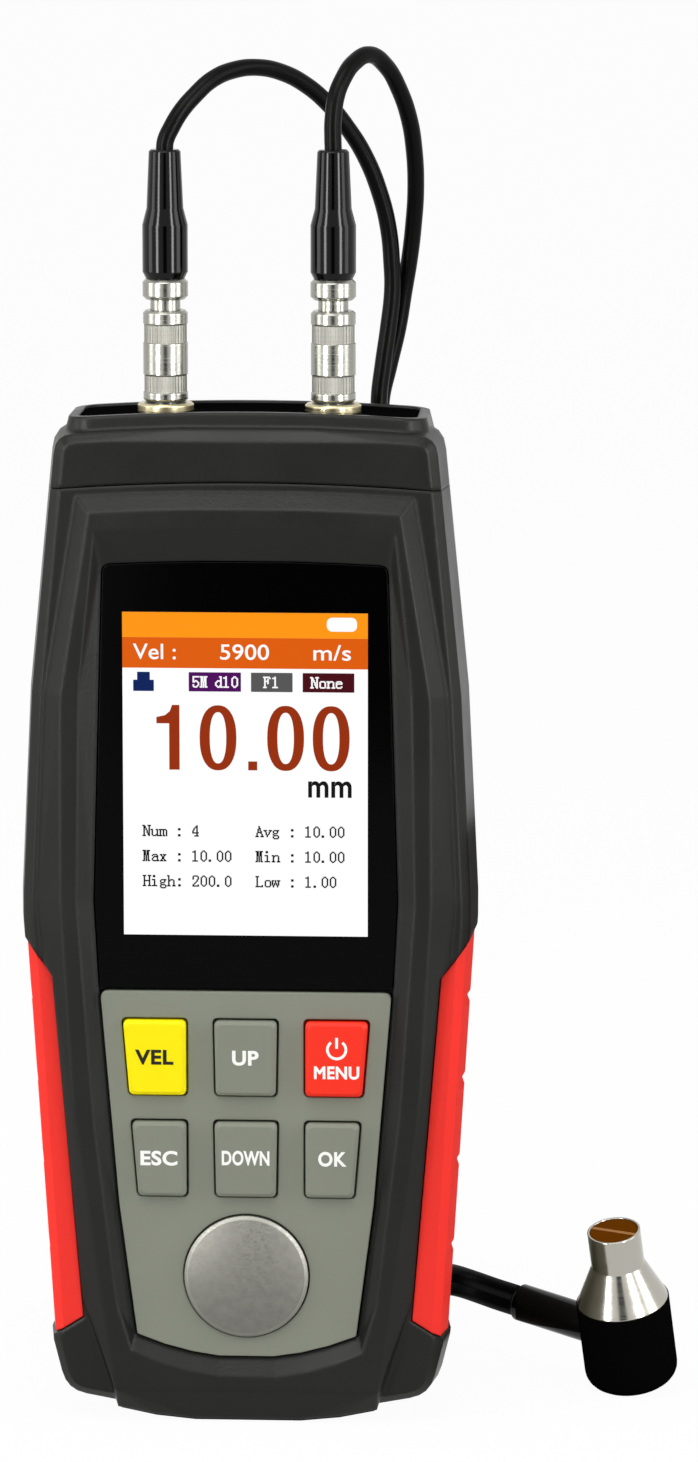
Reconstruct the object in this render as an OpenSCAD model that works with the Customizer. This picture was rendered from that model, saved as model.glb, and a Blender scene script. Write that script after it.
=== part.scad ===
// Hand-held ultrasonic thickness gauge with its two-lead probe.
// It stands on its lower end: front towards -Y, +X to the right, +Z up.

/* [Housing] */
// Widest width, at the waist
waist_w = 69; // [66:0.2:74]
// Width at the joint with the end cap
shoulder_w = 59.7; // [58:0.1:63]
// Width at the top edge
top_w = 58.4; // [56:0.1:60]
// Width just above the foot
foot_w = 61; // [58:0.1:62]
// Depth of the front shell, from the split to its base plane
front_depth = 9.5; // [9:0.1:11]
// Depth of the rear shell, from the split to the back
rear_depth = 14.5; // [14.2:0.1:18]
// Wall thickness
wall = 2; // [1.6:0.1:2.4]
// Height of the end cap
cap_h = 10.2; // [8:0.1:12]
// Radius of the bow in the upper edges
bow_r = 377; // [300:1:600]
// Radius of the outline's corners
corner_r = 3.6; // [2:0.1:4]
// Gap left at the joints of the housing
joint_gap = 0.15; // [0.1:0.05:0.3]

/* [Raised frame] */
// Rise of the frame above the base plane
frame_rise = 2.5; // [1.5:0.1:3.5]
// Height of the brow above the window
brow_h = 11.6; // [11:0.1:14]
// Depth from the crest to the ledge that carries window and keypad
ledge_depth = 3.4; // [3:0.1:4]

/* [Window and keypad] */
// Width of the window at its top
window_top_w = 42.4; // [42:0.1:44.5]
// Width of the window at the waist
window_waist_w = 45.4; // [44:0.1:46]
// Height of the window
window_h = 64.7; // [64:0.1:70]
// Thickness of the window
window_t = 1.8; // [1:0.1:2.2]
// Height of the keypad panel
panel_h = 56.5; // [55:0.1:60]
// Height of the lip under the keypad panel
lip_h = 10.5; // [9:0.1:12]
// Width of the panel where it meets the window
panel_top_w = 43.8; // [43:0.1:44.5]
// Width of the panel at its lower corners
panel_foot_w = 33.2; // [32:0.1:35]
// Thickness of the keypad panel
panel_t = 2.4; // [2:0.1:2.8]
// Gap round the window and the panel
seat_gap = 0.2; // [0.1:0.05:0.3]
// Width of the display module
display_w = 42.7; // [40:0.1:43]
// Height of the display module
display_h = 60.2; // [56:0.1:61]

/* [Keys] */
// Width of a centre key
key_w = 9.4; // [8:0.1:10.5]
// Height of a key
key_h = 11.4; // [10:0.1:12]
// Distance between the two rows of keys
key_pitch = 15.6; // [15:0.1:16]
// Distance from the middle to the inner edge of an outer key
key_side_x = 9; // [8.4:0.1:9.5]
// Margin between an outer key and the panel's edge
key_margin = 3.1; // [2.4:0.1:3.5]
// How far a key stands above the panel
key_proud = 1.1; // [0.8:0.1:1.6]
// Travel of a key
key_travel = 1; // [0.5:0.1:1.1]
// Gap between a key and its hole
key_gap = 0.3; // [0.25:0.05:0.4]
// Overhang and thickness of a key's flange
key_flange = 0.8; // [0.6:0.1:1]

/* [Test disc] */
// Diameter of the disc
disc_d = 18.8; // [16:0.1:19]
// Thickness of the disc
disc_t = 4; // [3.8:0.1:4.6]
// How far the disc stands above the panel
disc_proud = 0.8; // [0.4:0.1:1]

/* [Grips] */
// Height of a grip along its outer edge
grip_h = 60.7; // [50:0.1:64]
// Height of a grip's lower end above the floor
grip_z = 13.6; // [13:0.1:18]
// Set-back of a grip from the housing's flank
grip_inset = 0.4; // [0.4:0.05:1]
// Radius of the notches
notch_r = 1.1; // [0.6:0.1:1.6]

/* [Battery bay] */
// Diameter of a cell
cell_d = 10.5; // [10:0.1:10.6]
// Length of a cell with its button
cell_l = 44.5; // [42:0.1:45]
// Gap between cells
cell_gap = 0.4; // [0.2:0.1:0.5]
// Thickness of the battery door
door_t = 2.1; // [1.6:0.1:2.4]

/* [Sockets and plugs] */
// Distance between the two plugs
plug_pitch = 25.1; // [22:0.1:28]
// Diameter of a plug's sleeve
sleeve_d = 6.7; // [6.2:0.1:7.2]
// Length of a plug's sleeve
sleeve_l = 13.7; // [12:0.1:16]
// Gap between sleeve and nut at rest
sleeve_play = 1.6; // [1.6:0.1:3]
// Diameter of a plug's core
core_d = 4.5; // [4:0.1:4.8]
// Length of the back nut
nut_l = 3.1; // [2:0.1:3.5]
// Length of the boot
boot_l = 19.2; // [16:0.1:22]
// Diameter of the boot at its bulge
boot_d = 6.8; // [6:0.1:7.4]
// Diameter of the boot's end
boot_end_d = 4.75; // [4:0.05:5.4]
// Diameter of the ring nut on the plate
ring_d = 8.4; // [8:0.1:9]
// Radial gap between turned pieces that slide or fit
turn_gap = 0.1; // [0.06:0.02:0.14]

/* [Leads and probe] */
// Diameter of one strand
strand_d = 2.6; // [2.2:0.1:2.6]
// Radius at the middle of the coil's turns
coil_r = 22; // [20:0.5:24]
// Width of the coil's ring
coil_w = 8.4; // [7:0.1:9]
// Height of the coil
coil_h = 10.6; // [9:0.1:10.6]
// Diameter of the probe's black body
probe_d = 14.4; // [12:0.1:15]
// Height of the probe's black body
probe_body_h = 14.2; // [11:0.1:16]
// Height of the cone
cone_h = 6.4; // [5:0.1:8]
// Height of the neck above the cone
neck_h = 5.7; // [5:0.1:9]
// Diameter of the neck
neck_d = 8.2; // [7:0.1:9]
// Rounding of the probe's lower edge
probe_round = 2.5; // [1.5:0.1:3]
// Lean of the probe towards the front
probe_lean = 15; // [10:0.5:18]
// Lean of the probe to the left
probe_roll = 7; // [4:0.5:9]
// Diameter of the probe's strain relief
relief_d = 5.8; // [4.6:0.1:6.2]
// Length of the strain relief
relief_l = 15.5; // [14:0.1:17]

/* [Hidden] */
$fn = 48;

// Depths, front to back
split_y = -1;
front_y = split_y - front_depth;
crest_y = front_y - frame_rise;
back_y = split_y + rear_depth;
ledge_y = crest_y + ledge_depth;
floor_y = ledge_y + wall;
boss_l = key_travel;
board_t = 1.6;
board_y = floor_y + boss_l;
skin = 0.02;
far = 200;

// Heights, bottom to top
panel_z = lip_h;
seam_z = panel_z + panel_h;
window_z = seam_z + 2 * seat_gap;
window_top_z = window_z + window_h;
shoulder_z = window_top_z + brow_h;
body_h = shoulder_z + cap_h;
rim_h = 1.3;
cap_top_z = body_h - rim_h;
waist_z = seam_z + 12;
foot_z = 12;

// Housing outline, right half
foot_corner = [28.4, 3.5];
foot_inner = [19.8, 1.9];
waist_flat = 4;
chest_w = 66;
chest_z = waist_z + 33;
top_shares = [1, 2 / 3, 1 / 3];

function bow(x) = sqrt(bow_r * bow_r - x * x) - bow_r;
function both_sides(half) = concat(half, [for (i = [len(half) - 1 : -1 : 0]) [-half[i][0], half[i][1]]]);
function mix(a, b, t) = a + (b - a) * t;
function bowed_edge(w, z) = [for (s = top_shares) [w / 2 * s, z + bow(w / 2 * s)]];

// A corner rounded by a curve that starts r before it and ends r past it
function rounded(before, corner, after, r) = let (
    a = corner + unit(before - corner) * r,
    b = corner + unit(after - corner) * r)
    [for (t = [0 : 1 / 4 : 1]) mix(mix(a, corner, t), mix(corner, b, t), t)];
function unit(v) = v / norm(v);

foot_side = [foot_w / 2, foot_z];
shoulder = [shoulder_w / 2, shoulder_z + bow(shoulder_w / 2)];
top_edge = bowed_edge(top_w, cap_top_z);
body_outline = both_sides(concat([foot_inner], rounded(foot_inner, foot_corner, foot_side, corner_r),
    [foot_side, [waist_w / 2, waist_z - waist_flat / 2], [waist_w / 2, waist_z + waist_flat / 2],
    [chest_w / 2, chest_z], shoulder], rounded(shoulder, top_edge[0], top_edge[1], corner_r),
    [top_edge[1], top_edge[2]]));

// Set-backs of the outline from the split to the front plane and to the back
front_edge = [[2.2, 0], [0.9, 1.3]];
back_edge = [[6, 0], [3.5, 1], [1.2, 4.5]];
cap_bevel_h = 2.8;

// Central land that the housing stands on
land_w = 16;
land_mid = [14, 0.6];
land_side_w = 38.6;
land_side_z = 1.7;
land_top_z = 6;
land_y = [front_y + 1, back_y - 4];

// Raised frame: base line, crest line and inner line, right halves
frame_top_gap = 1.2;
flare_step = 0.3;
slope_w = 2.4;
frame_foot = [17.4, 11.5];
frame_mid_z = 7.3;
arc_shares = [1 / 4, 1 / 2, 3 / 4];
function foot_arc(half_w, z0, z1, s) = [half_w * s, mix(z0, z1, s * s)];
frame_base = both_sides(concat([[land_w / 2, 0.5], [14, 1.1], [19.7, 2.2], [25.1, 19.6], [28.6, 48.7],
    [waist_w / 2 - 3.1, waist_z + 1.6], [chest_w / 2 - 3, chest_z]],
    bowed_edge(50.2, shoulder_z - frame_top_gap)));
frame_crest = both_sides(concat([[19.9, 5.5], [22, 19.6], [26, 48.7],
    [waist_w / 2 - 6.75, waist_z + 1.6], [chest_w / 2 - 5.4, chest_z]],
    bowed_edge(46.4, shoulder_z - frame_top_gap - slope_w)));
frame_inner = both_sides(concat([for (s = arc_shares) foot_arc(frame_foot[0], frame_mid_z, frame_foot[1], s)],
    [frame_foot, [19.8, 19.6], [23.2, 48.7],
    [waist_w / 2 - 9.1, waist_z + 1.6], [chest_w / 2 - 8.1, chest_z]],
    bowed_edge(44.6, window_top_z + 5.4)));

// Window and keypad panel outlines, right halves
panel_bulge = 1;
seat_round = 1.2;
panel_mid_w = mix(panel_foot_w, panel_top_w, 0.4) + panel_bulge;
panel_foot_z = panel_z + 3.5;
panel_mid_z = panel_z + 23.8;
panel_mid = [panel_mid_w / 2, panel_mid_z];
panel_corner = [panel_top_w / 2, seam_z];
panel_half = concat([for (s = arc_shares) foot_arc(panel_foot_w / 2, panel_z, panel_foot_z, s)],
    [[panel_foot_w / 2, panel_foot_z], panel_mid]);
panel_outline = both_sides(concat(panel_half, rounded(panel_mid, panel_corner, [0, seam_z], seat_round)));
window_side = [window_waist_w / 2, waist_z + 1.6];
window_edge = bowed_edge(window_top_w, window_top_z);
window_half = concat([[panel_top_w / 2 + 0.1, window_z], window_side],
    rounded(window_side, window_edge[0], window_edge[1], seat_round), [window_edge[1], window_edge[2]]);
pocket_outline = both_sides(concat(panel_half, [panel_corner], window_half));

// Display module
display_z = window_z + 0.9;
display_gap = 0.3;

// Keys: rows and the slant of their outer edges
key_top_gap = 4.3;
key_row_z = [seam_z - key_top_gap - key_h, seam_z - key_top_gap - key_h - key_pitch];
key_taper = 0.2;
key_round = 0.7;
key_bevel = 0.5;
key_seat_gap = 0.1;
key_back_y = ledge_y + key_seat_gap + key_flange;
dome_t = 0.3;
dome_d = 5;
sheet_t = 0.2;
function panel_edge(z) = mix(panel_mid_w, panel_top_w, (z - panel_mid_z) / (seam_z - panel_mid_z)) / 2;
function side_key(z) = [[key_side_x, z], [panel_edge(z) - key_margin, z],
    [panel_edge(z + key_h) - key_margin, z + key_h], [key_side_x, z + key_h]];
function centre_key(z) = [[key_taper - key_w / 2, z], [key_w / 2 - key_taper, z], [key_w / 2, z + key_h],
    [-key_w / 2, z + key_h]];
function flipped(points) = [for (p = points) [-p[0], p[1]]];
key_outlines = [for (row = [0, 1], column = [-1, 0, 1])
    column == 0 ? centre_key(key_row_z[row])
    : column > 0 ? side_key(key_row_z[row]) : flipped(side_key(key_row_z[row]))];
key_colours = ["gold", "darkkhaki", "orangered", "darkkhaki", "darkkhaki", "darkkhaki"];
well_margin = key_flange + key_gap;
well_z = [key_row_z[1] - well_margin, key_row_z[0] + key_h + well_margin];

// Test disc
disc_rise = 12.75;
disc_z = panel_z + disc_rise;
disc_front_y = ledge_y - panel_t - disc_proud;

// Grips: inner line and slanted ends, right side
grip_top_z = grip_z + grip_h;
grip_back_y = 8;
grip_inner_top = [29.3, grip_top_z - 5.2];
grip_inner_foot = [25, grip_z + 2.5];
grip_outer_x = 40;
grip_rise = 8.4;
grip_drop = 7;
grip_backing = 1.6;
notch_shares = [0.2, 0.42, 0.63, 0.84];
grip_region = [[grip_outer_x, grip_top_z + grip_rise], grip_inner_top, grip_inner_foot,
    [grip_outer_x, grip_z - grip_drop]];

// Circuit board and its bosses
board_half = [[20, panel_foot_z + 1.5], [22.4, seam_z - 3], [26, seam_z + 6], [26, window_top_z - 0.5]];
board_boss_at = [[17.8, panel_foot_z + 5], [23.9, window_top_z - 2.9]];
board_boss_d = 4.6;
board_hole_d = 2.4;
board_screw_d = 1.9;
board_screw_l = 3.6;
screw_head_d = 4;
screw_head_t = 1.5;
pilot_gap = 0.1;
pilot_spare = 0.3;

// Case screws
case_screw_at = [[19, 9], [22.4, shoulder_z - 8.2]];
case_boss_d = 6.6;
case_screw_d = 2.6;
case_head_d = 5;
case_head_t = 2;
case_head_y = back_y - 4;
case_screw_l = 15;

// Battery bay
cell_count = 4;
contact_rise = 1.35;
contact_w = 7;
contact_t = 0.4;
bay_wall = 1.6;
bay_w = cell_count * cell_d + (cell_count + 1) * cell_gap;
bay_z = 15.2;
bay_top_z = bay_z + cell_l + 2 * contact_rise;
bay_y = split_y + 1.4;
door_margin = 1.3;
door_gap = 0.25;
door_seat_gap = 0.1;
door_latch_h = 2.5;
door_front_y = back_y - door_t;
cell_y = bay_y + cell_gap / 2 + cell_d / 2;
rib_t = 1;
rib_l = 1.6;
thumb_r = 9;
thumb_depth = 0.9;
thumb_w = 16;

// End cap, connector plate, sockets and plugs
cap_floor_t = 3.3;
plate_t = 2.4;
plate_sink = 0.3;
plate_w = 50.4;
plate_depth = 14.5;
plate_r = 2;
plate_mid_y = 1.25;
rim_w = 1.3;
rim_root = 3;
rim_flare = 1.1;
seat_depth = 0.45;
socket_y = 0;
plate_z = body_h - plate_sink;
nut_seat_z = plate_z - seat_depth;
cap_inner_z = plate_z - plate_t - cap_floor_t;
lip_t = 1.2;
lip_drop = 2.5;
socket_d = 6.2;
socket_bore_d = core_d + 2 * turn_gap;
socket_flange_t = 2;
socket_l = 9;
ring_t = 1.45;
ring_top_z = nut_seat_z + ring_t;
nose_l = 6;
sleeve_z = ring_top_z + 0.15;
nut_z = sleeve_z + sleeve_l + sleeve_play;
nut_d = sleeve_d + 0.1;
boot_z = nut_z + nut_l;
boot_top_z = boot_z + boot_l;
knurl_t = 0.15;
knurl_step = 0.1;
knurl_bands = [[1.5, 4.1], [8.9, 11.6]];
boot_edge = 0.5;
boot_bulge_l = 8;
boot_shoulder_l = 2.5;
boot_stem_d = 5.5;
boot_round = 0.3;

// Lead routes: plug ends, the merge of the strands, the coil and the probe
lead_x = plug_pitch / 2;
twin_w = 2 * strand_d;
coil_at = [1, 47];
strand_sides = 8;
twin_sides = 12;
merge_z = 145;
left_arch = [[-lead_x, 0, 0.15], [-12.4, 0.1, 1.3], [-11.6, 0.5, 3.1], [-10.2, 1.3, 5.5],
    [-8.3, 2.6, 7.75], [-5.7, 4.6, 10.1], [-2.7, 7, 11.35], [0.7, 9.6, 11.6], [4.1, 12.2, 10.75],
    [7.5, 14.8, 8.8], [10.85, 17.2, 5.7],
    [13.5, 19, 2.25], [16.2, 20.8, -2.3], [18.4, 22.3, -8], [19.7, 23.3, -13.55], [20.2, 23.8, -19],
    [20.3, 24, -22.9], [19.7, 23.8, -28.7], [18.9, 23.4, -34.4], [18.3, 23.2, -39.7]];
right_arch = [[lead_x, 0, 0.15], [12.5, 0.1, 1.5], [12.5, 0.6, 4.4], [12.95, 1.6, 7.9],
    [13.9, 3, 10.4], [15.3, 5.4, 12.5], [17.5, 8.6, 13.6], [19.8, 12, 11.75], [21.65, 15, 8.15],
    [23.05, 17.8, 3.6], [23.7, 20.2, -1],
    [23.9, 22.6, -7.25], [23.45, 24.6, -13.4], [22.8, 25.8, -18.6], [22, 26.5, -23.3],
    [21.05, 26.6, -29.1], [19.7, 26.3, -34.9], [18.55, 26, -40.2]];
function raised(points) = [for (p = points) [p[0], p[1], p[2] + boot_top_z]];
left_route = concat(raised(left_arch), [[18.5, 23.2, merge_z]]);
right_route = concat(raised(right_arch), [[18.5, 25.9, merge_z]]);
drop_route = [[18.5, 24.6, merge_z - 0.1], [18.6, 25.2, 134], [18.8, 25.7, 122], [19, 26, 110],
    [19.1, 26, 98], [19.1, 26, 86], [19, 26, 74], [18.8, 26, 62], [18.2, 26, 50], [17, 26, 39],
    [15, 25.9, 29], [12.2, 25.7, 20.5], [9, 25.5, 14.8], [4.8, 25.3, 11.95]];
drop_wide = [0, 1, 0];
tail_points = [[27.56, 54.12, 7.95], [28.9, 49.4, 7.95], [30.1, 44.6, 8.2], [31.1, 39.4, 8.9],
    [32, 34, 9.8], [33.6, 28.2, 10.9]];
tail_wide = [0, 0, 1];

// Probe: where it stands and how its strain relief points
probe_at = [58.4, 12];
relief_h = 7.5;
relief_dir = [-0.84, 0.53, 0.12];
relief_start = 5;
relief_gap = 0.1;
relief_round = 0.6;
spigot_h = 1.4;
spigot_d = 11.6;
shell_wall = 0.35;
face_l = 10.2;
face_sink = 0.1;
barrier_t = 0.7;
barrier_gap = 0.02;
face_turn = -28;
probe_h = probe_body_h + cone_h + neck_h;
probe_axis = [-cos(probe_lean) * sin(probe_roll), -sin(probe_lean), cos(probe_lean) * cos(probe_roll)];
probe_tilt = acos(probe_axis[2]);
probe_lift = probe_round * (1 - cos(probe_tilt)) + (probe_d / 2 - probe_round) * sin(probe_tilt);
probe_base = [probe_at[0], probe_at[1], probe_lift];
relief_unit = relief_dir / norm(relief_dir);
relief_from = probe_base + relief_h * probe_axis;
relief_end = relief_from + (relief_start + relief_l) * relief_unit;
tail_lead = 4;
tail_gap = 0.1;
tail_route = concat(tail_points, [relief_end + tail_lead * relief_unit, relief_end + tail_gap * relief_unit]);

// A flat shape in x and z, made solid between two depths
module slab(y0, y1) {
    translate([0, y1, 0]) rotate([90, 0, 0]) linear_extrude(y1 - y0) children();
}

// An outline set back all round
module inset_outline(points, inset) {
    offset(delta = -inset) polygon(points);
}

// A key's outline, grown by g and rounded at its corners
module key_outline(points, g) {
    offset(r = key_round, $fn = 16) offset(delta = g - key_round) polygon(points);
}

module below(z) {
    translate([-far / 2, z - far]) square(far);
}

// Everything in front of a depth
module front_of(y) {
    translate([-far / 2, y - far, -far / 2]) cube([far, far, 2 * far]);
}

module behind(y) {
    translate([-far / 2, y, -far / 2]) cube([far, far, 2 * far]);
}

// Round bar along y
module bar(at, y0, y1, d) {
    translate([at[0], y1, at[1]]) rotate([90, 0, 0]) cylinder(d = d, h = y1 - y0);
}

// Outer form of the whole housing, set back all round by i
module body_form(i) {
    hull() {
        slab(front_y + i, front_y + i + skin) intersection() {
            inset_outline(body_outline, i + front_edge[0][0]);
            below(cap_top_z - cap_bevel_h - i);
        }
        slab(front_y + i + front_edge[1][1], front_y + i + front_edge[1][1] + skin)
            inset_outline(body_outline, i + front_edge[1][0]);
        slab(split_y - 1, split_y + 1) inset_outline(body_outline, i);
        slab(back_y - i - back_edge[2][1] - skin, back_y - i - back_edge[2][1])
            inset_outline(body_outline, i + back_edge[2][0]);
        slab(back_y - i - back_edge[1][1] - skin, back_y - i - back_edge[1][1])
            inset_outline(body_outline, i + back_edge[1][0]);
        slab(back_y - i - skin, back_y - i) inset_outline(body_outline, i + back_edge[0][0]);
    }
}

// Everything under the bowed joint, raised by dz
module under_joint(dz) {
    translate([0, far / 2, shoulder_z + dz - bow_r]) rotate([90, 0, 0])
        cylinder(r = bow_r, h = far, $fn = 360);
}

module grip_prism(grow, y1) {
    slab(-far / 2, y1) offset(delta = grow) polygon(grip_region);
}

module land() {
    half = [[land_w / 2, 0], land_mid, [land_side_w / 2, land_side_z], [land_side_w / 2, land_top_z]];
    slab(land_y[0], land_y[1]) polygon(both_sides(half));
}

// Hollow inside the shells
module cavity() {
    difference() {
        intersection() {
            body_form(wall);
            behind(floor_y);
        }
        for (side = [0, 1]) mirror([side, 0, 0]) grip_prism(grip_backing, grip_back_y + grip_backing);
    }
}

module raised_frame() {
    hull() {
        slab(front_y - 0.2, front_y + 2) polygon(frame_base);
        slab(crest_y, crest_y + skin) polygon(frame_crest);
    }
}

// Flared opening in the frame down to the window's edge
module frame_flare() {
    hull() {
        slab(crest_y - 1, crest_y) polygon(frame_inner);
        slab(ledge_y - window_t - skin, ledge_y - window_t)
            offset(delta = seat_gap + flare_step) polygon(pocket_outline);
    }
}

module grip_pockets() {
    for (side = [0, 1]) mirror([side, 0, 0]) grip_prism(joint_gap, grip_back_y + joint_gap);
}

module at_four(points) {
    for (side = [-1, 1], p = points) translate([side * p[0], 0, p[1]]) children();
}

module front_shell() {
    color("dimgray") difference() {
        union() {
            difference() {
                intersection() {
                    union() {
                        body_form(0);
                        raised_frame();
                        land();
                    }
                    front_of(split_y);
                    under_joint(0);
                }
                cavity();
                grip_pockets();
            }
            at_four(board_boss_at) bar([0, 0], floor_y - skin, board_y, board_boss_d);
            at_four(case_screw_at) bar([0, 0], floor_y - skin, split_y, case_boss_d);
        }
        frame_flare();
        slab(-far / 2, ledge_y) offset(delta = seat_gap) polygon(pocket_outline);
        slab(ledge_y - 1, floor_y + 1) translate([-display_w / 2 - display_gap, display_z - display_gap])
            square([display_w + 2 * display_gap, display_h + 2 * display_gap]);
        slab(ledge_y - 1, floor_y + 1) polygon(both_sides([
            [panel_edge(well_z[0]) - key_margin + well_margin, well_z[0]],
            [panel_edge(well_z[1]) - key_margin + well_margin, well_z[1]]]));
        bar([0, disc_z], ledge_y - 1, disc_front_y + disc_t, disc_d + 2 * seat_gap);
        at_four(board_boss_at) bar([0, 0], board_y + board_t - board_screw_l - pilot_spare, board_y + 1,
            board_screw_d + 2 * pilot_gap);
        at_four(case_screw_at) bar([0, 0], case_head_y - case_screw_l - pilot_spare, split_y + 1,
            case_screw_d + 2 * pilot_gap);
    }
}

module bay_block() {
    translate([-bay_w / 2 - bay_wall, split_y, bay_z - bay_wall])
        cube([bay_w + 2 * bay_wall, rear_depth, bay_top_z - bay_z + 2 * bay_wall]);
}

// Outline of the battery door, grown by g
module door_shape(g) {
    translate([-bay_w / 2 - door_margin - g, bay_z - door_margin - g])
        square([bay_w + 2 * (door_margin + g), bay_top_z - bay_z + 2 * (door_margin + g) + door_latch_h]);
}

module rear_shell() {
    color("dimgray") difference() {
        union() {
            difference() {
                intersection() {
                    union() {
                        body_form(0);
                        land();
                    }
                    behind(split_y);
                    under_joint(0);
                }
                difference() {
                    cavity();
                    bay_block();
                }
                grip_pockets();
            }
            intersection() {
                body_form(0.5);
                at_four(case_screw_at) bar([0, 0], split_y, back_y, case_boss_d);
            }
        }
        translate([-bay_w / 2, bay_y, bay_z]) cube([bay_w, far, bay_top_z - bay_z]);
        slab(door_front_y - door_seat_gap, back_y + 1) door_shape(door_gap);
        at_four(case_screw_at) bar([0, 0], split_y - 1, back_y + 1, case_screw_d + 2 * door_gap);
        at_four(case_screw_at) bar([0, 0], case_head_y, back_y + 1, case_head_d + 2 * door_gap);
    }
}

// Outline of the connector plate, grown by g
module plate_outline(g) {
    translate([0, plate_mid_y]) offset(r = plate_r + g)
        square([plate_w - 2 * plate_r, plate_depth - 2 * plate_r], center = true);
}

module top_cap() {
    plate_floor_z = plate_z - plate_t;
    color("dimgray") difference() {
        union() {
            difference() {
                body_form(0);
                under_joint(joint_gap);
            }
            intersection() {
                hull() {
                    translate([0, 0, cap_top_z - rim_root]) linear_extrude(skin)
                        plate_outline(rim_w + rim_flare);
                    translate([0, 0, body_h]) linear_extrude(skin) plate_outline(rim_w);
                }
                under_joint(cap_h);
            }
            difference() {
                intersection() {
                    body_form(wall + joint_gap);
                    behind(floor_y + joint_gap);
                }
                under_joint(-lip_drop);
            }
        }
        intersection() {
            body_form(wall + joint_gap + lip_t);
            behind(floor_y + joint_gap + lip_t);
            translate([-far / 2, -far / 2, cap_inner_z - far]) cube(far);
        }
        translate([0, 0, plate_floor_z]) linear_extrude(far) plate_outline(joint_gap);
        for (side = [-1, 1]) translate([side * lead_x, socket_y, cap_inner_z - 1])
            cylinder(d = socket_d + 2 * turn_gap, h = cap_floor_t + 2);
    }
}

module connector_plate() {
    color("black") difference() {
        intersection() {
            translate([0, 0, plate_z - plate_t]) linear_extrude(plate_t + 1) plate_outline(0);
            under_joint(cap_h - plate_sink);
        }
        for (side = [-1, 1]) translate([side * lead_x, socket_y, 0]) {
            cylinder(d = socket_d + 2 * turn_gap, h = far);
            translate([0, 0, nut_seat_z]) cylinder(d = ring_d + 2 * turn_gap, h = far);
        }
    }
}

module grip(side) {
    color("orangered") mirror([side < 0 ? 1 : 0, 0, 0]) difference() {
        intersection() {
            body_form(grip_inset);
            grip_prism(0, grip_back_y);
        }
        for (s = notch_shares) {
            z = mix(grip_z, grip_top_z, s);
            x = mix(foot_w, waist_w, (z - foot_z) / (waist_z - foot_z)) / 2 - grip_inset;
            bar([x + notch_r / 3, z], -far / 2, far / 2, 2 * notch_r);
        }
    }
}

module display_window() {
    color("black") slab(ledge_y - window_t, ledge_y) polygon(both_sides(window_half));
}

module display_module() {
    color("white") translate([-display_w / 2, ledge_y, display_z])
        cube([display_w, board_y - ledge_y, display_h]);
}

module keypad_panel() {
    color("darkgray") difference() {
        slab(ledge_y - panel_t, ledge_y) polygon(panel_outline);
        for (points = key_outlines)
            slab(ledge_y - panel_t - 1, ledge_y + 1) key_outline(points, key_gap);
        bar([0, disc_z], ledge_y - panel_t - 1, ledge_y + 1, disc_d + 2 * seat_gap);
    }
}

// One key: bevelled cap and the flange that holds it behind the panel
module key(i) {
    top_y = ledge_y - panel_t - key_proud;
    points = key_outlines[i];
    color(key_colours[i]) union() {
        hull() {
            slab(top_y, top_y + skin) key_outline(points, -key_bevel);
            slab(top_y + key_bevel, key_back_y - key_flange / 2) key_outline(points, 0);
        }
        slab(ledge_y + key_seat_gap, key_back_y) key_outline(points, key_flange);
    }
}

module dome_sheet() {
    color("lightgray") union() {
        slab(board_y - sheet_t, board_y) polygon(both_sides([
            [panel_edge(well_z[0]) - key_margin, well_z[0]],
            [panel_edge(well_z[1]) - key_margin, well_z[1]]]));
        for (points = key_outlines) {
            middle = (points[0] + points[1] + points[2] + points[3]) / 4;
            bar(middle, board_y - sheet_t - dome_t, board_y, dome_d);
        }
    }
}

module main_board() {
    color("darkgreen") difference() {
        slab(board_y, board_y + board_t) polygon(both_sides(board_half));
        at_four(board_boss_at) bar([0, 0], board_y - 1, board_y + board_t + 1, board_hole_d);
    }
}

module board_screws() {
    color("silver") at_four(board_boss_at) union() {
        bar([0, 0], board_y + board_t - board_screw_l, board_y + board_t + skin, board_screw_d);
        bar([0, 0], board_y + board_t, board_y + board_t + screw_head_t, screw_head_d);
    }
}

module case_screws() {
    color("silver") at_four(case_screw_at) union() {
        bar([0, 0], case_head_y - case_screw_l, case_head_y + skin, case_screw_d);
        bar([0, 0], case_head_y, case_head_y + case_head_t, case_head_d);
    }
}

module test_disc() {
    color("lightslategray") bar([0, disc_z], disc_front_y, disc_front_y + disc_t, disc_d);
}

module battery_door() {
    color("dimgray") difference() {
        union() {
            slab(door_front_y, back_y) door_shape(0);
            for (side = [-1, 1])
                translate([side * (bay_w / 2 - door_gap - rib_t / 2), door_front_y - rib_l / 2,
                    (bay_z + bay_top_z) / 2])
                cube([rib_t, rib_l + skin, bay_top_z - bay_z - 4 * door_gap], center = true);
        }
        translate([-thumb_w / 2, back_y + thumb_r - thumb_depth, bay_top_z - 2]) rotate([0, 90, 0])
            cylinder(r = thumb_r, h = thumb_w);
    }
}

// One cell, button up or down in turn
module battery(i) {
    button_d = 3.8;
    button_l = 0.9;
    pitch = cell_d + cell_gap;
    x = (i - (cell_count + 1) / 2) * pitch;
    color("steelblue") translate([x, cell_y, bay_z + contact_rise + cell_l / 2]) mirror([0, 0, i % 2])
        translate([0, 0, -cell_l / 2]) union() {
            cylinder(d = cell_d, h = cell_l - button_l);
            cylinder(d = button_d, h = cell_l);
        }
}

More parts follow.
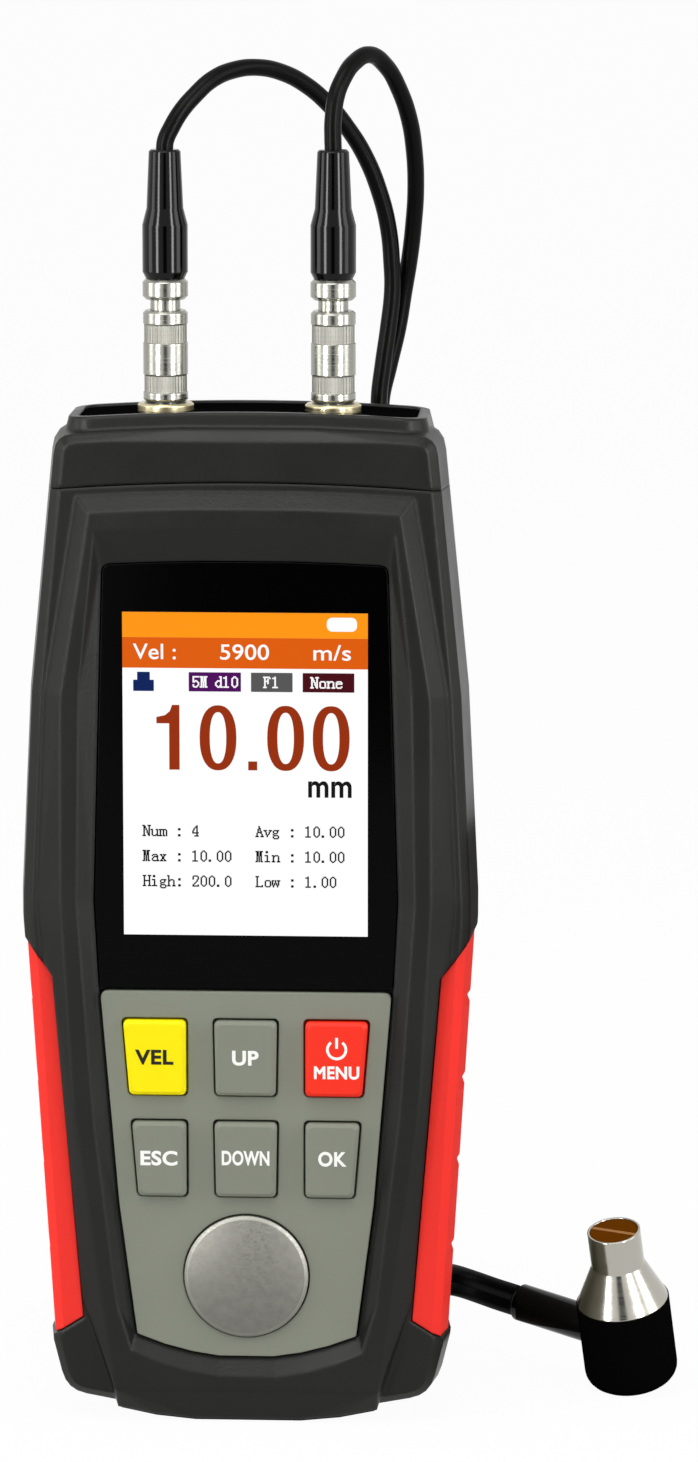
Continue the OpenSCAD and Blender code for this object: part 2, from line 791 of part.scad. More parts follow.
// Bent leaf contacts at both ends of the cells
module battery_contacts() {
    reach = cell_d / 2 - 1;
    top = contact_rise - 0.05;
    leaf = [[-reach, 0], [0, top], [reach, 0], [reach - 1, 0], [0, top - contact_t], [1 - reach, 0]];
    color("gold") for (i = [1 : cell_count], end = [0, 1])
        translate([(i - (cell_count + 1) / 2) * (cell_d + cell_gap) - contact_w / 2, cell_y,
            end == 0 ? bay_z : bay_top_z])
            mirror([0, 0, end]) rotate([90, 0, 90]) linear_extrude(contact_w) polygon(leaf);
}

// Turned piece on a plug's axis, from a list of radius and height
module turned(side, profile) {
    translate([side * lead_x, socket_y, 0]) rotate_extrude() polygon(profile);
}

module socket(side) {
    bottom = cap_inner_z - socket_l;
    color("silver") turned(side, [[0, bottom], [socket_d / 2, bottom],
        [socket_d / 2, cap_inner_z - socket_flange_t], [ring_d / 2, cap_inner_z - socket_flange_t],
        [ring_d / 2, cap_inner_z], [socket_d / 2, cap_inner_z], [socket_d / 2, ring_top_z],
        [socket_bore_d / 2, ring_top_z], [socket_bore_d / 2, ring_top_z - nose_l - turn_gap],
        [0, ring_top_z - nose_l - turn_gap]]);
}

module socket_nut(side) {
    chamfer = 0.3;
    color("goldenrod") turned(side, [[socket_d / 2 + turn_gap, nut_seat_z], [ring_d / 2, nut_seat_z],
        [ring_d / 2, ring_top_z - chamfer], [ring_d / 2 - chamfer, ring_top_z],
        [socket_d / 2 + turn_gap, ring_top_z]]);
}

// Core of a plug: nose in the socket, shank through the sleeve and the back nut
module plug_core(side) {
    color("gainsboro") turned(side, [[0, ring_top_z - nose_l], [core_d / 2, ring_top_z - nose_l],
        [core_d / 2, boot_z], [0, boot_z]]);
}

module plug_sleeve(side) {
    r = sleeve_d / 2;
    bore = core_d / 2 + turn_gap;
    top = sleeve_z + sleeve_l;
    chamfer = 0.4;
    bands = [for (band = knurl_bands) each [
        [r, sleeve_z + band[0] - knurl_step], [r - knurl_t, sleeve_z + band[0]],
        [r - knurl_t, sleeve_z + band[1]], [r, sleeve_z + band[1] + knurl_step]]];
    color("silver") turned(side, concat([[bore, sleeve_z], [r - chamfer, sleeve_z], [r, sleeve_z + chamfer]],
        bands, [[r, top - chamfer], [r - chamfer, top], [bore, top]]));
}

module plug_nut(side) {
    chamfer = 0.5;
    r = nut_d / 2;
    bore = core_d / 2 + turn_gap / 2;
    color("silver") turned(side, [[bore, nut_z], [r - chamfer, nut_z], [r, nut_z + chamfer],
        [r, boot_z - chamfer], [r - chamfer, boot_z], [bore, boot_z]]);
}

module boot(side) {
    r = boot_d / 2;
    end_r = boot_end_d / 2;
    color("black") turned(side, [[0, boot_z], [r - boot_edge, boot_z], [r, boot_z + 2 * boot_edge],
        [r, boot_z + boot_bulge_l], [boot_stem_d / 2, boot_z + boot_bulge_l + boot_shoulder_l],
        [end_r, boot_top_z - boot_round], [end_r - boot_round, boot_top_z], [0, boot_top_z]]);
}

// Directions along a route, and a tube swept through its points
function heading(route, i) = unit(route[min(i + 1, len(route) - 1)] - route[max(i - 1, 0)]);
function squared(wide, t) = unit(wide - (wide * t) * t);
function ring(p, t, wide, half_w, half_h, sides) = let (u = squared(wide, t), v = cross(t, u))
    [for (k = [0 : sides - 1]) let (a = 360 * (k + 0.5) / sides)
        p + u * half_w * cos(a) + v * half_h * sin(a)];
module tube(route, wide, w, h, sides) {
    n = len(route);
    stretch = 1 / cos(180 / sides);
    rings = [for (i = [0 : n - 1])
        ring(route[i], heading(route, i), wide, w / 2, h / 2 * stretch, sides)];
    walls = [for (i = [0 : n - 2], k = [0 : sides - 1]) let (next = (k + 1) % sides)
        [i * sides + k, (i + 1) * sides + k, (i + 1) * sides + next, i * sides + next]];
    ends = [[for (k = [0 : sides - 1]) k], [for (k = [sides - 1 : -1 : 0]) (n - 1) * sides + k]];
    polyhedron([for (r = rings, p = r) p], concat(walls, ends));
}

module left_lead() {
    color("black") tube(left_route, [0, 1, 0], strand_d, strand_d * cos(180 / strand_sides), strand_sides);
}

module right_lead() {
    color("black") tube(right_route, [1, 0, 0], strand_d, strand_d * cos(180 / strand_sides), strand_sides);
}

module twin_lead() {
    color("black") tube(drop_route, drop_wide, twin_w, strand_d * cos(180 / twin_sides), twin_sides);
}

module twin_tail() {
    color("black") tube(tail_route, tail_wide, twin_w, strand_d * cos(180 / twin_sides), twin_sides);
}

module lead_coil() {
    edge = 1;
    color("black") translate([coil_at[0], coil_at[1], 0]) rotate_extrude()
        translate([coil_r - coil_w / 2, 0]) polygon([[edge, 0], [coil_w - edge, 0], [coil_w, edge],
            [coil_w, coil_h - edge], [coil_w - edge, coil_h], [edge, coil_h], [0, coil_h - edge], [0, edge]]);
}

// The probe's own axis
module on_probe() {
    translate(probe_base) rotate([probe_lean, -probe_roll, 0]) children();
}

// A piece along the strain relief, with z pointing away from the probe
module along_relief() {
    translate(relief_from) rotate([0, acos(relief_unit[2]), atan2(relief_unit[1], relief_unit[0])])
        children();
}

module probe_body() {
    r = probe_d / 2;
    bore = spigot_d / 2 + turn_gap;
    edge = [for (k = [0 : 6]) let (a = 90 * k / 6)
        [r - probe_round + probe_round * sin(a), probe_round - probe_round * cos(a)]];
    color("black") difference() {
        on_probe() rotate_extrude() polygon(concat([[0, 0]], edge, [[r, probe_body_h], [bore, probe_body_h],
            [bore, probe_body_h - spigot_h], [0, probe_body_h - spigot_h]]));
        along_relief() translate([0, 0, relief_start - relief_gap])
            cylinder(d = relief_d + 2 * relief_gap, h = probe_d);
    }
}

module probe_shell() {
    neck_r = neck_d / 2;
    bore = neck_r - shell_wall;
    cone_top = probe_body_h + cone_h;
    color("silver") on_probe() rotate_extrude() polygon([[0, probe_body_h - spigot_h],
        [spigot_d / 2, probe_body_h - spigot_h], [spigot_d / 2, probe_body_h],
        [probe_d / 2 - turn_gap, probe_body_h], [neck_r, cone_top], [neck_r, probe_h], [bore, probe_h],
        [bore, probe_h - face_l - face_sink], [0, probe_h - face_l - face_sink]]);
}

// Foot of the wear faces, turned to the line between them
module on_face() {
    on_probe() translate([0, 0, probe_h - face_l - face_sink]) rotate(face_turn) children();
}

module probe_faces() {
    r = neck_d / 2 - shell_wall - turn_gap / 2;
    color("saddlebrown") on_face() difference() {
        cylinder(r = r, h = face_l);
        translate([-far / 2, -barrier_t / 2, -1]) cube([far, barrier_t, face_l + 2]);
    }
}

module probe_barrier() {
    r = neck_d / 2 - shell_wall - turn_gap / 2;
    color("tan") on_face() intersection() {
        cylinder(r = r, h = face_l);
        translate([-far / 2, barrier_gap - barrier_t / 2, -1])
            cube([far, barrier_t - 2 * barrier_gap, face_l + 2]);
    }
}

module probe_boot() {
    r = relief_d / 2;
    color("black") along_relief() rotate_extrude() polygon([[0, relief_start], [r, relief_start],
        [r, relief_start + relief_l - relief_round], [r - relief_round, relief_start + relief_l],
        [0, relief_start + relief_l]]);
}

front_shell();
rear_shell();
top_cap();
connector_plate();
grip(-1);  // left_grip
grip(1);  // right_grip
display_window();
display_module();
keypad_panel();
key(0);  // key_velocity
key(1);  // key_up
key(2);  // key_menu
key(3);  // key_escape
key(4);  // key_down
key(5);  // key_ok
dome_sheet();
main_board();
test_disc();
battery_door();
battery(1);  // battery_1
battery(2);  // battery_2
battery(3);  // battery_3
battery(4);  // battery_4
battery_contacts();
case_screws();
board_screws();
socket(-1);  // left_socket
socket(1);  // right_socket
socket_nut(-1);  // left_socket_nut
socket_nut(1);  // right_socket_nut
plug_core(-1);  // left_plug_core
plug_core(1);  // right_plug_core
plug_sleeve(-1);  // left_plug_sleeve
plug_sleeve(1);  // right_plug_sleeve
plug_nut(-1);  // left_plug_nut
plug_nut(1);  // right_plug_nut
boot(-1);  // left_boot
boot(1);  // right_boot
left_lead();
right_lead();
twin_lead();
lead_coil();
twin_tail();
probe_boot();
probe_body();
probe_shell();
probe_faces();
probe_barrier();
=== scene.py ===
"""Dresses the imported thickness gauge: housing, screen, keypad, plugs, leads, probe and stage."""

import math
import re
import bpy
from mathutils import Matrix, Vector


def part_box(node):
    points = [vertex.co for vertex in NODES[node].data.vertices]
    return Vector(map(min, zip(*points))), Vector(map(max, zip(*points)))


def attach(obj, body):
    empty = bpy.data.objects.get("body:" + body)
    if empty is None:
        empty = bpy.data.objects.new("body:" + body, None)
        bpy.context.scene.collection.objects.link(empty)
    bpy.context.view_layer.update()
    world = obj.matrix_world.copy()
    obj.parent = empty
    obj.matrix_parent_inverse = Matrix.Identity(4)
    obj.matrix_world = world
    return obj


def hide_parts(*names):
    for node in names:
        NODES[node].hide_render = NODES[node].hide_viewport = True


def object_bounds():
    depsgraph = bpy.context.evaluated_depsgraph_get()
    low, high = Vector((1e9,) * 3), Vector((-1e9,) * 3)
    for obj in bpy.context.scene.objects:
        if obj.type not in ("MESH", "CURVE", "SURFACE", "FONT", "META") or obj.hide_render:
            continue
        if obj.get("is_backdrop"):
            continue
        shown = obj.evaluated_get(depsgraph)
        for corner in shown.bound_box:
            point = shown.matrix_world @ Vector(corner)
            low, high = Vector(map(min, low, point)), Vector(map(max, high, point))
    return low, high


bl_info = {
    "name": "Thickness Gauge",
    "version": (1, 0, 0),
    "blender": (4, 5, 0),
    "location": "View3D > Sidebar > Gauge",
    "description": "Builds the looks of a hand-held thickness gauge on its CAD frame",
    "category": "Object",
}

import bmesh
import bpy
from mathutils import Euler, Matrix, Vector

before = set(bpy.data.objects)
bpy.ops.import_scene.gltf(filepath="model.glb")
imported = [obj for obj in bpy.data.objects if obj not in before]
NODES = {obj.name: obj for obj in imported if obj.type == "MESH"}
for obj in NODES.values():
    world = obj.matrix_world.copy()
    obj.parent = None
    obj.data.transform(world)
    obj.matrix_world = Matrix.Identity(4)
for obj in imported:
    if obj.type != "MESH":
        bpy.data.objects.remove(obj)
CAD_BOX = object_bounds()
MM = 0.001
MAIN_BODY = "gauge"
SIDES = ("left", "right")
# Lit area of the display, in millimetres
SCREEN_W, SCREEN_H = 36.6, 48.9


def screen_colour(red, green, blue):
    """A colour as a screen shows it, 0 to 255, as the linear one that a shader takes."""
    return tuple(
        c / 255 / 12.92 if c <= 10 else ((c / 255 + 0.055) / 1.055) ** 2.4
        for c in (red, green, blue)
    )


def colour_setting(name, description, *shown):
    """A colour that a user may change."""
    return bpy.props.FloatVectorProperty(
        name=name,
        description=description,
        default=screen_colour(*shown),
        subtype="COLOR",
        size=3,
        min=0,
        max=1,
    )


def length_setting(name, description, millimetres):
    """A length that a user may change."""
    return bpy.props.FloatProperty(
        name=name,
        description=description,
        default=millimetres * MM,
        subtype="DISTANCE",
        unit="LENGTH",
        precision=5,
    )


def angle_setting(name, description, degrees):
    """An angle that a user may change."""
    return bpy.props.FloatProperty(
        name=name,
        description=description,
        default=math.radians(degrees),
        subtype="ANGLE",
        unit="ROTATION",
    )


def power_setting(name, description, watts):
    """The power of a lamp that a user may change."""
    return bpy.props.FloatProperty(
        name=name, description=description, default=watts, unit="POWER"
    )


class GaugeColours(bpy.types.PropertyGroup):
    """Colours of the gauge's finishes."""

    housing: colour_setting("Housing", "Moulded shells and cap", 29, 29, 27)
    plate: colour_setting("Plate", "Connector plate and probe body", 8, 8, 9)
    grip: colour_setting("Grip", "Rubber grips on the flanks", 250, 44, 32)
    window: colour_setting("Window", "Black lens over the display", 2, 2, 3)
    panel: colour_setting("Panel", "Keypad panel", 132, 136, 122)
    key_grey: colour_setting("Grey Keys", "Plain keys", 130, 134, 120)
    key_yellow: colour_setting("Yellow Key", "Velocity key", 255, 236, 0)
    key_red: colour_setting("Red Key", "Menu key", 250, 44, 18)
    legend_light: colour_setting("Light Legend", "Print on dark keys", 250, 250, 246)
    legend_dark: colour_setting("Dark Legend", "Print on the yellow key", 20, 18, 10)
    disc: colour_setting("Test Disc", "Steel reference disc", 114, 113, 107)
    chrome: colour_setting("Chrome", "Plugs", 156, 156, 148)
    knurl: colour_setting("Knurl", "Knurled bands of the plugs", 132, 131, 124)
    satin: colour_setting("Satin", "Metal sleeve of the probe", 178, 175, 166)
    ring: colour_setting("Ring Nut", "Gilt nut on the plate", 198, 187, 150)
    boot: colour_setting("Boot", "Shrink sleeves", 3, 3, 3)
    lead: colour_setting("Lead", "Sheath of the leads", 9, 9, 8)
    face: colour_setting("Probe Face", "Two halves of the probe tip", 98, 54, 4)
    barrier: colour_setting("Barrier", "Strip between the probe halves", 158, 112, 56)
    board: colour_setting("Board", "Circuit board", 20, 92, 52)
    film: colour_setting("Film", "Sheet of switch domes", 196, 196, 190)
    display: colour_setting("Display", "Frame of the display", 188, 190, 194)
    cell: colour_setting("Cell", "Sleeves of the four cells", 38, 70, 120)
    steel: colour_setting("Steel", "Screws and sockets", 120, 120, 118)
    brass: colour_setting("Brass", "Battery contacts", 206, 172, 92)


class GaugeSizes(bpy.types.PropertyGroup):
    """Sizes of what is added to the frame."""

    strand_d: length_setting("Strand", "Diameter of one strand of the lead", 2.6)
    twin_w: length_setting("Twin Lead", "Width of the joined pair", 5.2)
    screen_w: length_setting("Screen Width", "Lit area of the display", SCREEN_W)
    screen_top: length_setting("Screen Top", "Height of the lit area's upper edge", 124.5)
    edge: length_setting("Edge", "Rounding of the housing's edges", 0.9)
    panel_edge: length_setting("Panel Edge", "Rounding of the keypad panel's edges", 0.4)
    key_edge: length_setting("Key Edge", "Rounding of the keys' edges", 0.45)
    disc_chamfer: length_setting("Disc Chamfer", "Bright chamfer of the test disc", 0.35)


class GaugeStage(bpy.types.PropertyGroup):
    """Camera and light."""

    azimuth: angle_setting("Azimuth", "How far the camera stands to the right", 3)
    elevation: angle_setting("Elevation", "How far the camera looks down", 9.5)
    distance: length_setting("Distance", "From the camera to the gauge", 900)
    frame_h: length_setting("Frame Height", "Height that the picture takes in", 220.5)
    aim: bpy.props.FloatVectorProperty(
        name="Aim",
        description="Point in the middle of the picture",
        default=(14.9 * MM, 0, 104.9 * MM),
        subtype="XYZ",
        unit="LENGTH",
        size=3,
    )
    top_light: power_setting("Top Light", "Power of the lamp above and in front", 6)
    strip_light: power_setting(
        "Strip Lights",
        "Power of each of the two upright lamps that gloss shows as streaks",
        4.2,
    )
    side_light: power_setting(
        "Side Lights", "Power of each of the two soft lamps at the sides", 2.3
    )
    sky: bpy.props.FloatProperty(
        name="Sky", description="Strength of the light all round", default=0.42
    )


# Finishes


def node_group(name, inputs, outputs):
    """A shader group, with its inputs and the place to start from where it is new and empty."""
    group = bpy.data.node_groups.get(name)
    if group:
        return group, None, None
    group = bpy.data.node_groups.new(name, "ShaderNodeTree")
    for socket, default in inputs.items():
        made = group.interface.new_socket(
            socket, in_out="INPUT", socket_type="NodeSocketFloat"
        )
        made.default_value = default
    for socket in outputs:
        group.interface.new_socket(
            socket, in_out="OUTPUT", socket_type="NodeSocketFloat"
        )
    group.nodes.new("NodeGroupOutput")
    inside = group.nodes.new("NodeGroupInput")
    place = group.nodes.new("ShaderNodeTexCoord")
    return group, inside.outputs, place.outputs["Object"]


def add_noise(group, vector, detail, output, scale=None):
    """A noise over a vector into one of a group's outputs, scaled by a socket where given."""
    noise = group.nodes.new("ShaderNodeTexNoise")
    noise.inputs["Scale"].default_value = 1
    noise.inputs["Detail"].default_value = detail
    group.links.new(vector, noise.inputs["Vector"])
    if scale:
        group.links.new(scale, noise.inputs["Scale"])
    group.links.new(noise.outputs["Fac"], group.nodes["Group Output"].inputs[output])


def moulded_grain():
    """Spark-eroded grain of a mould: a bump height, and a slow mottle in tone and gloss."""
    group, inside, place = node_group(
        "Moulded Grain", {"Grain Scale": 2500, "Mottle Scale": 60}, ("Height", "Mottle")
    )
    if place:
        add_noise(group, place, 3, "Height", inside["Grain Scale"])
        add_noise(group, place, 5, "Mottle", inside["Mottle Scale"])
    return group


def drawn_streaks():
    """Fine streaks left by turning or grinding, long across one axis, and slow stains."""
    group, inside, place = node_group(
        "Drawn Streaks",
        {"Across": 4000, "Along": 60, "Stain Scale": 250},
        ("Streak", "Stain"),
    )
    if place:
        stretch = group.nodes.new("ShaderNodeCombineXYZ")
        for axis, socket in (("X", "Along"), ("Y", "Along"), ("Z", "Across")):
            group.links.new(inside[socket], stretch.inputs[axis])
        scaled = group.nodes.new("ShaderNodeVectorMath")
        scaled.operation = "MULTIPLY"
        group.links.new(place, scaled.inputs[0])
        group.links.new(stretch.outputs["Vector"], scaled.inputs[1])
        add_noise(group, scaled.outputs["Vector"], 2, "Streak")
        add_noise(group, place, 6, "Stain", inside["Stain Scale"])
    return group


def placed_group(tree, group, values):
    """A group node in a material, with its own values."""
    node = tree.nodes.new("ShaderNodeGroup")
    node.node_tree = group
    for socket, value in values.items():
        node.inputs[socket].default_value = value
    return node


def shaded(colour, factor):
    """A colour made darker or lighter, with the alpha that a socket wants."""
    return tuple(min(1, c * factor) for c in colour) + (1,)


# Range that a noise mostly fills
NOISE_SPAN = (0.3, 0.7)


def spread(tree, mask, low, high, target):
    """A mask stretched between two values into a socket."""
    ramp = tree.nodes.new("ShaderNodeMapRange")
    sockets = ("From Min", "From Max", "To Min", "To Max")
    for socket, value in zip(sockets, (*NOISE_SPAN, low, high)):
        ramp.inputs[socket].default_value = value
    tree.links.new(mask, ramp.inputs["Value"])
    tree.links.new(ramp.outputs["Result"], target)


def toned(tree, mask, colour, depth, target):
    """A colour that swings darker and lighter with a mask, into a socket."""
    tone = tree.nodes.new("ShaderNodeMix")
    tone.data_type = "RGBA"
    ends = [socket for socket in tone.inputs if socket.type == "RGBA"]
    for socket, swing in zip(ends, (-depth, depth)):
        socket.default_value = shaded(colour, 1 + swing)
    tree.links.new(mask, tone.inputs["Factor"])
    result = next(s for s in tone.outputs if s.type == "RGBA")
    tree.links.new(result, target)


FINE_EDGE = 0.25 * MM
EDGE_SAMPLES = 8


def raised(tree, height, depth, shader, rounding):
    """A bump of that depth from a height mask, over edges that are rounded a little."""
    edge = tree.nodes.new("ShaderNodeBevel")
    edge.samples = EDGE_SAMPLES
    edge.inputs["Radius"].default_value = rounding
    bump = tree.nodes.new("ShaderNodeBump")
    bump.inputs["Strength"].default_value = 1
    bump.inputs["Distance"].default_value = depth
    tree.links.new(edge.outputs["Normal"], bump.inputs["Normal"])
    tree.links.new(height, bump.inputs["Height"])
    tree.links.new(bump.outputs["Normal"], shader.inputs["Normal"])


def new_finish(name, shader_values):
    """A material with its Principled shader set."""
    material = bpy.data.materials.new(name)
    material.use_nodes = True
    shader = material.node_tree.nodes["Principled BSDF"]
    for socket, value in shader_values.items():
        shader.inputs[socket].default_value = value
    return material, material.node_tree, shader


MOTTLE_SCALE = 70


def moulded(name, colour, gloss, grain, depth, mottle, shine, rounding):
    """Moulded plastic or rubber: grain in the bump, mottle in tone and gloss."""
    material, tree, shader = new_finish(name, {"Specular IOR Level": shine})
    scales = {"Grain Scale": grain, "Mottle Scale": MOTTLE_SCALE}
    group = placed_group(tree, moulded_grain(), scales)
    toned(tree, group.outputs["Mottle"], colour, mottle, shader.inputs["Base Color"])
    spread(tree, group.outputs["Mottle"], *gloss, shader.inputs["Roughness"])
    raised(tree, group.outputs["Height"], depth * MM, shader, rounding)
    return material


def metal(name, colour, gloss, across, along, stain, depth, tone):
    """Bare or plated metal: streaks in the bump and stains in tone and gloss."""
    material, tree, shader = new_finish(name, {"Metallic": 1})
    scales = {"Across": across, "Along": along, "Stain Scale": stain}
    group = placed_group(tree, drawn_streaks(), scales)
    toned(tree, group.outputs["Stain"], colour, tone, shader.inputs["Base Color"])
    spread(tree, group.outputs["Streak"], *gloss, shader.inputs["Roughness"])
    raised(tree, group.outputs["Streak"], depth * MM, shader, FINE_EDGE)
    return material


SCREEN_MOTTLE, SCREEN_UNEVEN = 40, 0.015


def lit(name, colour):
    """A lit field of the display, which glows a little unevenly."""
    material, tree, shader = new_finish(
        name,
        {
            "Base Color": (0, 0, 0, 1),
            "Roughness": 0.3,
            "Specular IOR Level": 0.1,
            "Emission Strength": 1,
        },
    )
    group = placed_group(tree, moulded_grain(), {"Mottle Scale": SCREEN_MOTTLE})
    glow = shader.inputs["Emission Color"]
    toned(tree, group.outputs["Mottle"], colour, SCREEN_UNEVEN, glow)
    return material


# Moulded finishes: label, gloss from and to, grain and its depth in millimetres, mottle, shine
MOULDED = {
    "housing": ("Housing", (0.3, 0.42), 2200, 0.03, 0.06, 0.16),
    "plate": ("Plate", (0.6, 0.7), 2600, 0.01, 0.06, 0),
    "grip": ("Grip Rubber", (0.5, 0.62), 1800, 0.03, 0.04, 0.2),
    "window": ("Window Lens", (0.1, 0.14), 400, 0.0005, 0.06, 0.05),
    "panel": ("Keypad Panel", (0.5, 0.6), 2600, 0.02, 0.04, 0.2),
    "key_grey": ("Grey Key", (0.42, 0.52), 2600, 0.015, 0.06, 0.2),
    "key_yellow": ("Yellow Key", (0.4, 0.5), 2600, 0.015, 0.03, 0.1),
    "key_red": ("Red Key", (0.4, 0.5), 2600, 0.015, 0.04, 0.2),
    "legend_light": ("Light Legend", (0.45, 0.55), 4000, 0.004, 0.01, 0.2),
    "legend_dark": ("Dark Legend", (0.45, 0.55), 4000, 0.004, 0.06, 0.2),
    "boot": ("Shrink Sleeve", (0.09, 0.14), 900, 0.0008, 0.06, 0.2),
    "lead": ("Lead Sheath", (0.26, 0.38), 1500, 0.015, 0.06, 0.06),
    "face": ("Probe Face", (0.4, 0.55), 900, 0.02, 0.2, 0),
    "barrier": ("Barrier", (0.6, 0.7), 2200, 0.03, 0.06, 0.2),
    "board": ("Board", (0.3, 0.42), 2500, 0.02, 0.06, 0.2),
    "film": ("Film", (0.2, 0.3), 2500, 0.02, 0.06, 0.2),
    "display": ("Display", (0.25, 0.35), 2500, 0.02, 0.06, 0.2),
    "cell": ("Cell", (0.22, 0.32), 2500, 0.02, 0.06, 0.2),
}
# Metals: label, gloss from and to, streaks across and along, stains, depth in millimetres, tone
METALS = {
    "disc": ("Test Disc", (0.42, 0.6), 2600, 1800, 700, 0.004, 0.22),
    "chrome": ("Chrome", (0.16, 0.28), 4000, 60, 250, 0.004, 0.1),
    "knurl": ("Knurled Chrome", (0.42, 0.58), 4000, 60, 250, 0.01, 0.1),
    "satin": ("Satin Steel", (0.14, 0.22), 4000, 60, 250, 0.0015, 0.04),
    "ring": ("Ring Nut", (0.22, 0.34), 4000, 60, 250, 0.004, 0.1),
    "steel": ("Screw Steel", (0.3, 0.42), 4000, 60, 250, 0.004, 0.1),
    "brass": ("Contact Brass", (0.2, 0.32), 4000, 60, 250, 0.004, 0.1),
}


def make_finishes(scene):
    """Every finish of the gauge, by name."""
    colours = scene.gauge_colours
    finishes = {}
    for name, (label, *surface) in MOULDED.items():
        rounding = scene.gauge_sizes.edge if name == "housing" else FINE_EDGE
        finishes[name] = moulded(label, getattr(colours, name), *surface, rounding)
    for name, (label, *surface) in METALS.items():
        finishes[name] = metal(label, getattr(colours, name), *surface)
    return finishes


FINISHES = {}


def finish(name):
    """A finish by name; all are made the first time that one is asked for."""
    if not FINISHES:
        FINISHES.update(make_finishes(bpy.context.scene))
    return FINISHES[name]


# Pieces


def paint(node, name):
    """Gives a CAD node one of the finishes."""
    materials = NODES[node].data.materials
    materials.clear()
    materials.append(finish(name))


WELD_GAP = 1e-6
ROUND_FROM = math.radians(50)


def round_edges(node, width):
    """Rounds the edges of a CAD node as it is shown."""
    weld = NODES[node].modifiers.new("Weld", "WELD")
    weld.merge_threshold = WELD_GAP
    edges = NODES[node].modifiers.new("Edges", "BEVEL")
    edges.affect = "EDGES"
    edges.width = width
    edges.segments = 3
    edges.profile = 0.5
    edges.material = -1
    edges.limit_method = "ANGLE"
    edges.angle_limit = ROUND_FROM


def linked(name, bm, materials):
    """A finished bmesh as an object in the scene."""
    mesh = bpy.data.meshes.new(name)
    bm.to_mesh(mesh)
    bm.free()
    for material in materials:
        mesh.materials.append(material)
    made = bpy.data.objects.new(name, mesh)
    bpy.context.scene.collection.objects.link(made)
    return made


def add_piece(name, bm, materials, body=MAIN_BODY, slot=None, replaces=()):
    """A finished bmesh as a piece that rides on a body."""
    piece = linked(name, bm, materials)
    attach(piece, body)
    if replaces:
        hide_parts(*replaces)
    return piece


SHARP_FROM = math.radians(32)


def smooth_faces(bm, angle=SHARP_FROM):
    """Smooth shading with the edges that turn by more than the angle kept sharp."""
    for face in bm.faces:
        face.smooth = True
    for edge in bm.edges:
        edge.smooth = len(edge.link_faces) == 2 and edge.calc_face_angle(0) < angle


def face_front(faces):
    """Turns flat faces to the front."""
    for face in faces:
        face.normal_update()
        if face.normal.y > 0:
            face.normal_flip()


MERGE_GAP = 1e-7


def turned(name, axis_at, profile, steps, finishes, shape=None, **place):
    """A turned piece: a profile of radius and height, spun about an upright axis."""
    bm = bmesh.new()
    verts = [bm.verts.new((r, 0, z)) for r, z in profile]
    edges = [bm.edges.new(pair) for pair in zip(verts, verts[1:])]
    bmesh.ops.spin(
        bm,
        geom=verts + edges,
        cent=(0, 0, 0),
        axis=(0, 0, 1),
        angle=math.tau,
        steps=steps,
        use_merge=True,
    )
    bmesh.ops.remove_doubles(bm, verts=bm.verts, dist=MERGE_GAP)
    bmesh.ops.recalc_face_normals(bm, faces=bm.faces)
    if shape:
        shape(bm)
    bmesh.ops.transform(bm, matrix=axis_at, verts=bm.verts)
    smooth_faces(bm)
    add_piece(name, bm, [finish(f) for f in finishes], **place)


def text_mesh(body, bold):
    """Letters as a mesh in x and y, made bolder by a chamfer round them."""
    curve = bpy.data.curves.new("letters", "FONT")
    curve.body = body
    curve.bevel_depth = bold
    curve.bevel_resolution = 0
    curve.space_character = 1 + 2 * bold
    curve.fill_mode = "FRONT"
    curve.resolution_u = 8
    letters = bpy.data.objects.new("letters", curve)
    bpy.context.scene.collection.objects.link(letters)
    bpy.context.view_layer.update()
    graph = bpy.context.evaluated_depsgraph_get()
    mesh = bpy.data.meshes.new_from_object(letters.evaluated_get(graph))
    bpy.data.objects.remove(letters)
    bpy.data.curves.remove(curve)
    bm = bmesh.new()
    bm.from_mesh(mesh)
    bm.normal_update()
    back = [face for face in bm.faces if face.normal.z < 0]
    bmesh.ops.delete(bm, geom=back, context="FACES")
    bm.to_mesh(mesh)
    bm.free()
    return mesh


PRINT_T = 0.01 * MM


def add_text(bm, body, box, y, slot, bold):
    """Letters fitted into a box of x and z, facing the front and a little proud of y."""
    mesh = text_mesh(body, bold)
    low = [min(v.co[i] for v in mesh.vertices) for i in range(2)]
    high = [max(v.co[i] for v in mesh.vertices) for i in range(2)]
    x0, x1, z0, z1 = box
    before = set(bm.verts)
    bm.from_mesh(mesh)
    bpy.data.meshes.remove(mesh)
    verts = [v for v in bm.verts if v not in before]
    for v in verts:
        s, t = ((v.co[i] - low[i]) / (high[i] - low[i]) for i in range(2))
        proud = PRINT_T * v.co.z / bold
        v.co = (x0 + (x1 - x0) * s, y - proud, z0 + (z1 - z0) * t)
    for face in {f for v in verts for f in v.link_faces}:
        face.material_index = slot


def add_field(bm, box, y, slot, rounding=0.0):
    """A plain field, with rounded corners where asked."""
    x0, x1, z0, z1 = box
    corners = [bm.verts.new((x, y, z)) for x, z in ((x0, z0), (x1, z0), (x1, z1), (x0, z1))]
    face = bm.faces.new(corners)
    face.material_index = slot
    if rounding:
        bmesh.ops.bevel(
            bm,
            geom=corners,
            offset=rounding,
            affect="VERTICES",
            segments=4,
            profile=0.5,
            material=-1,
        )


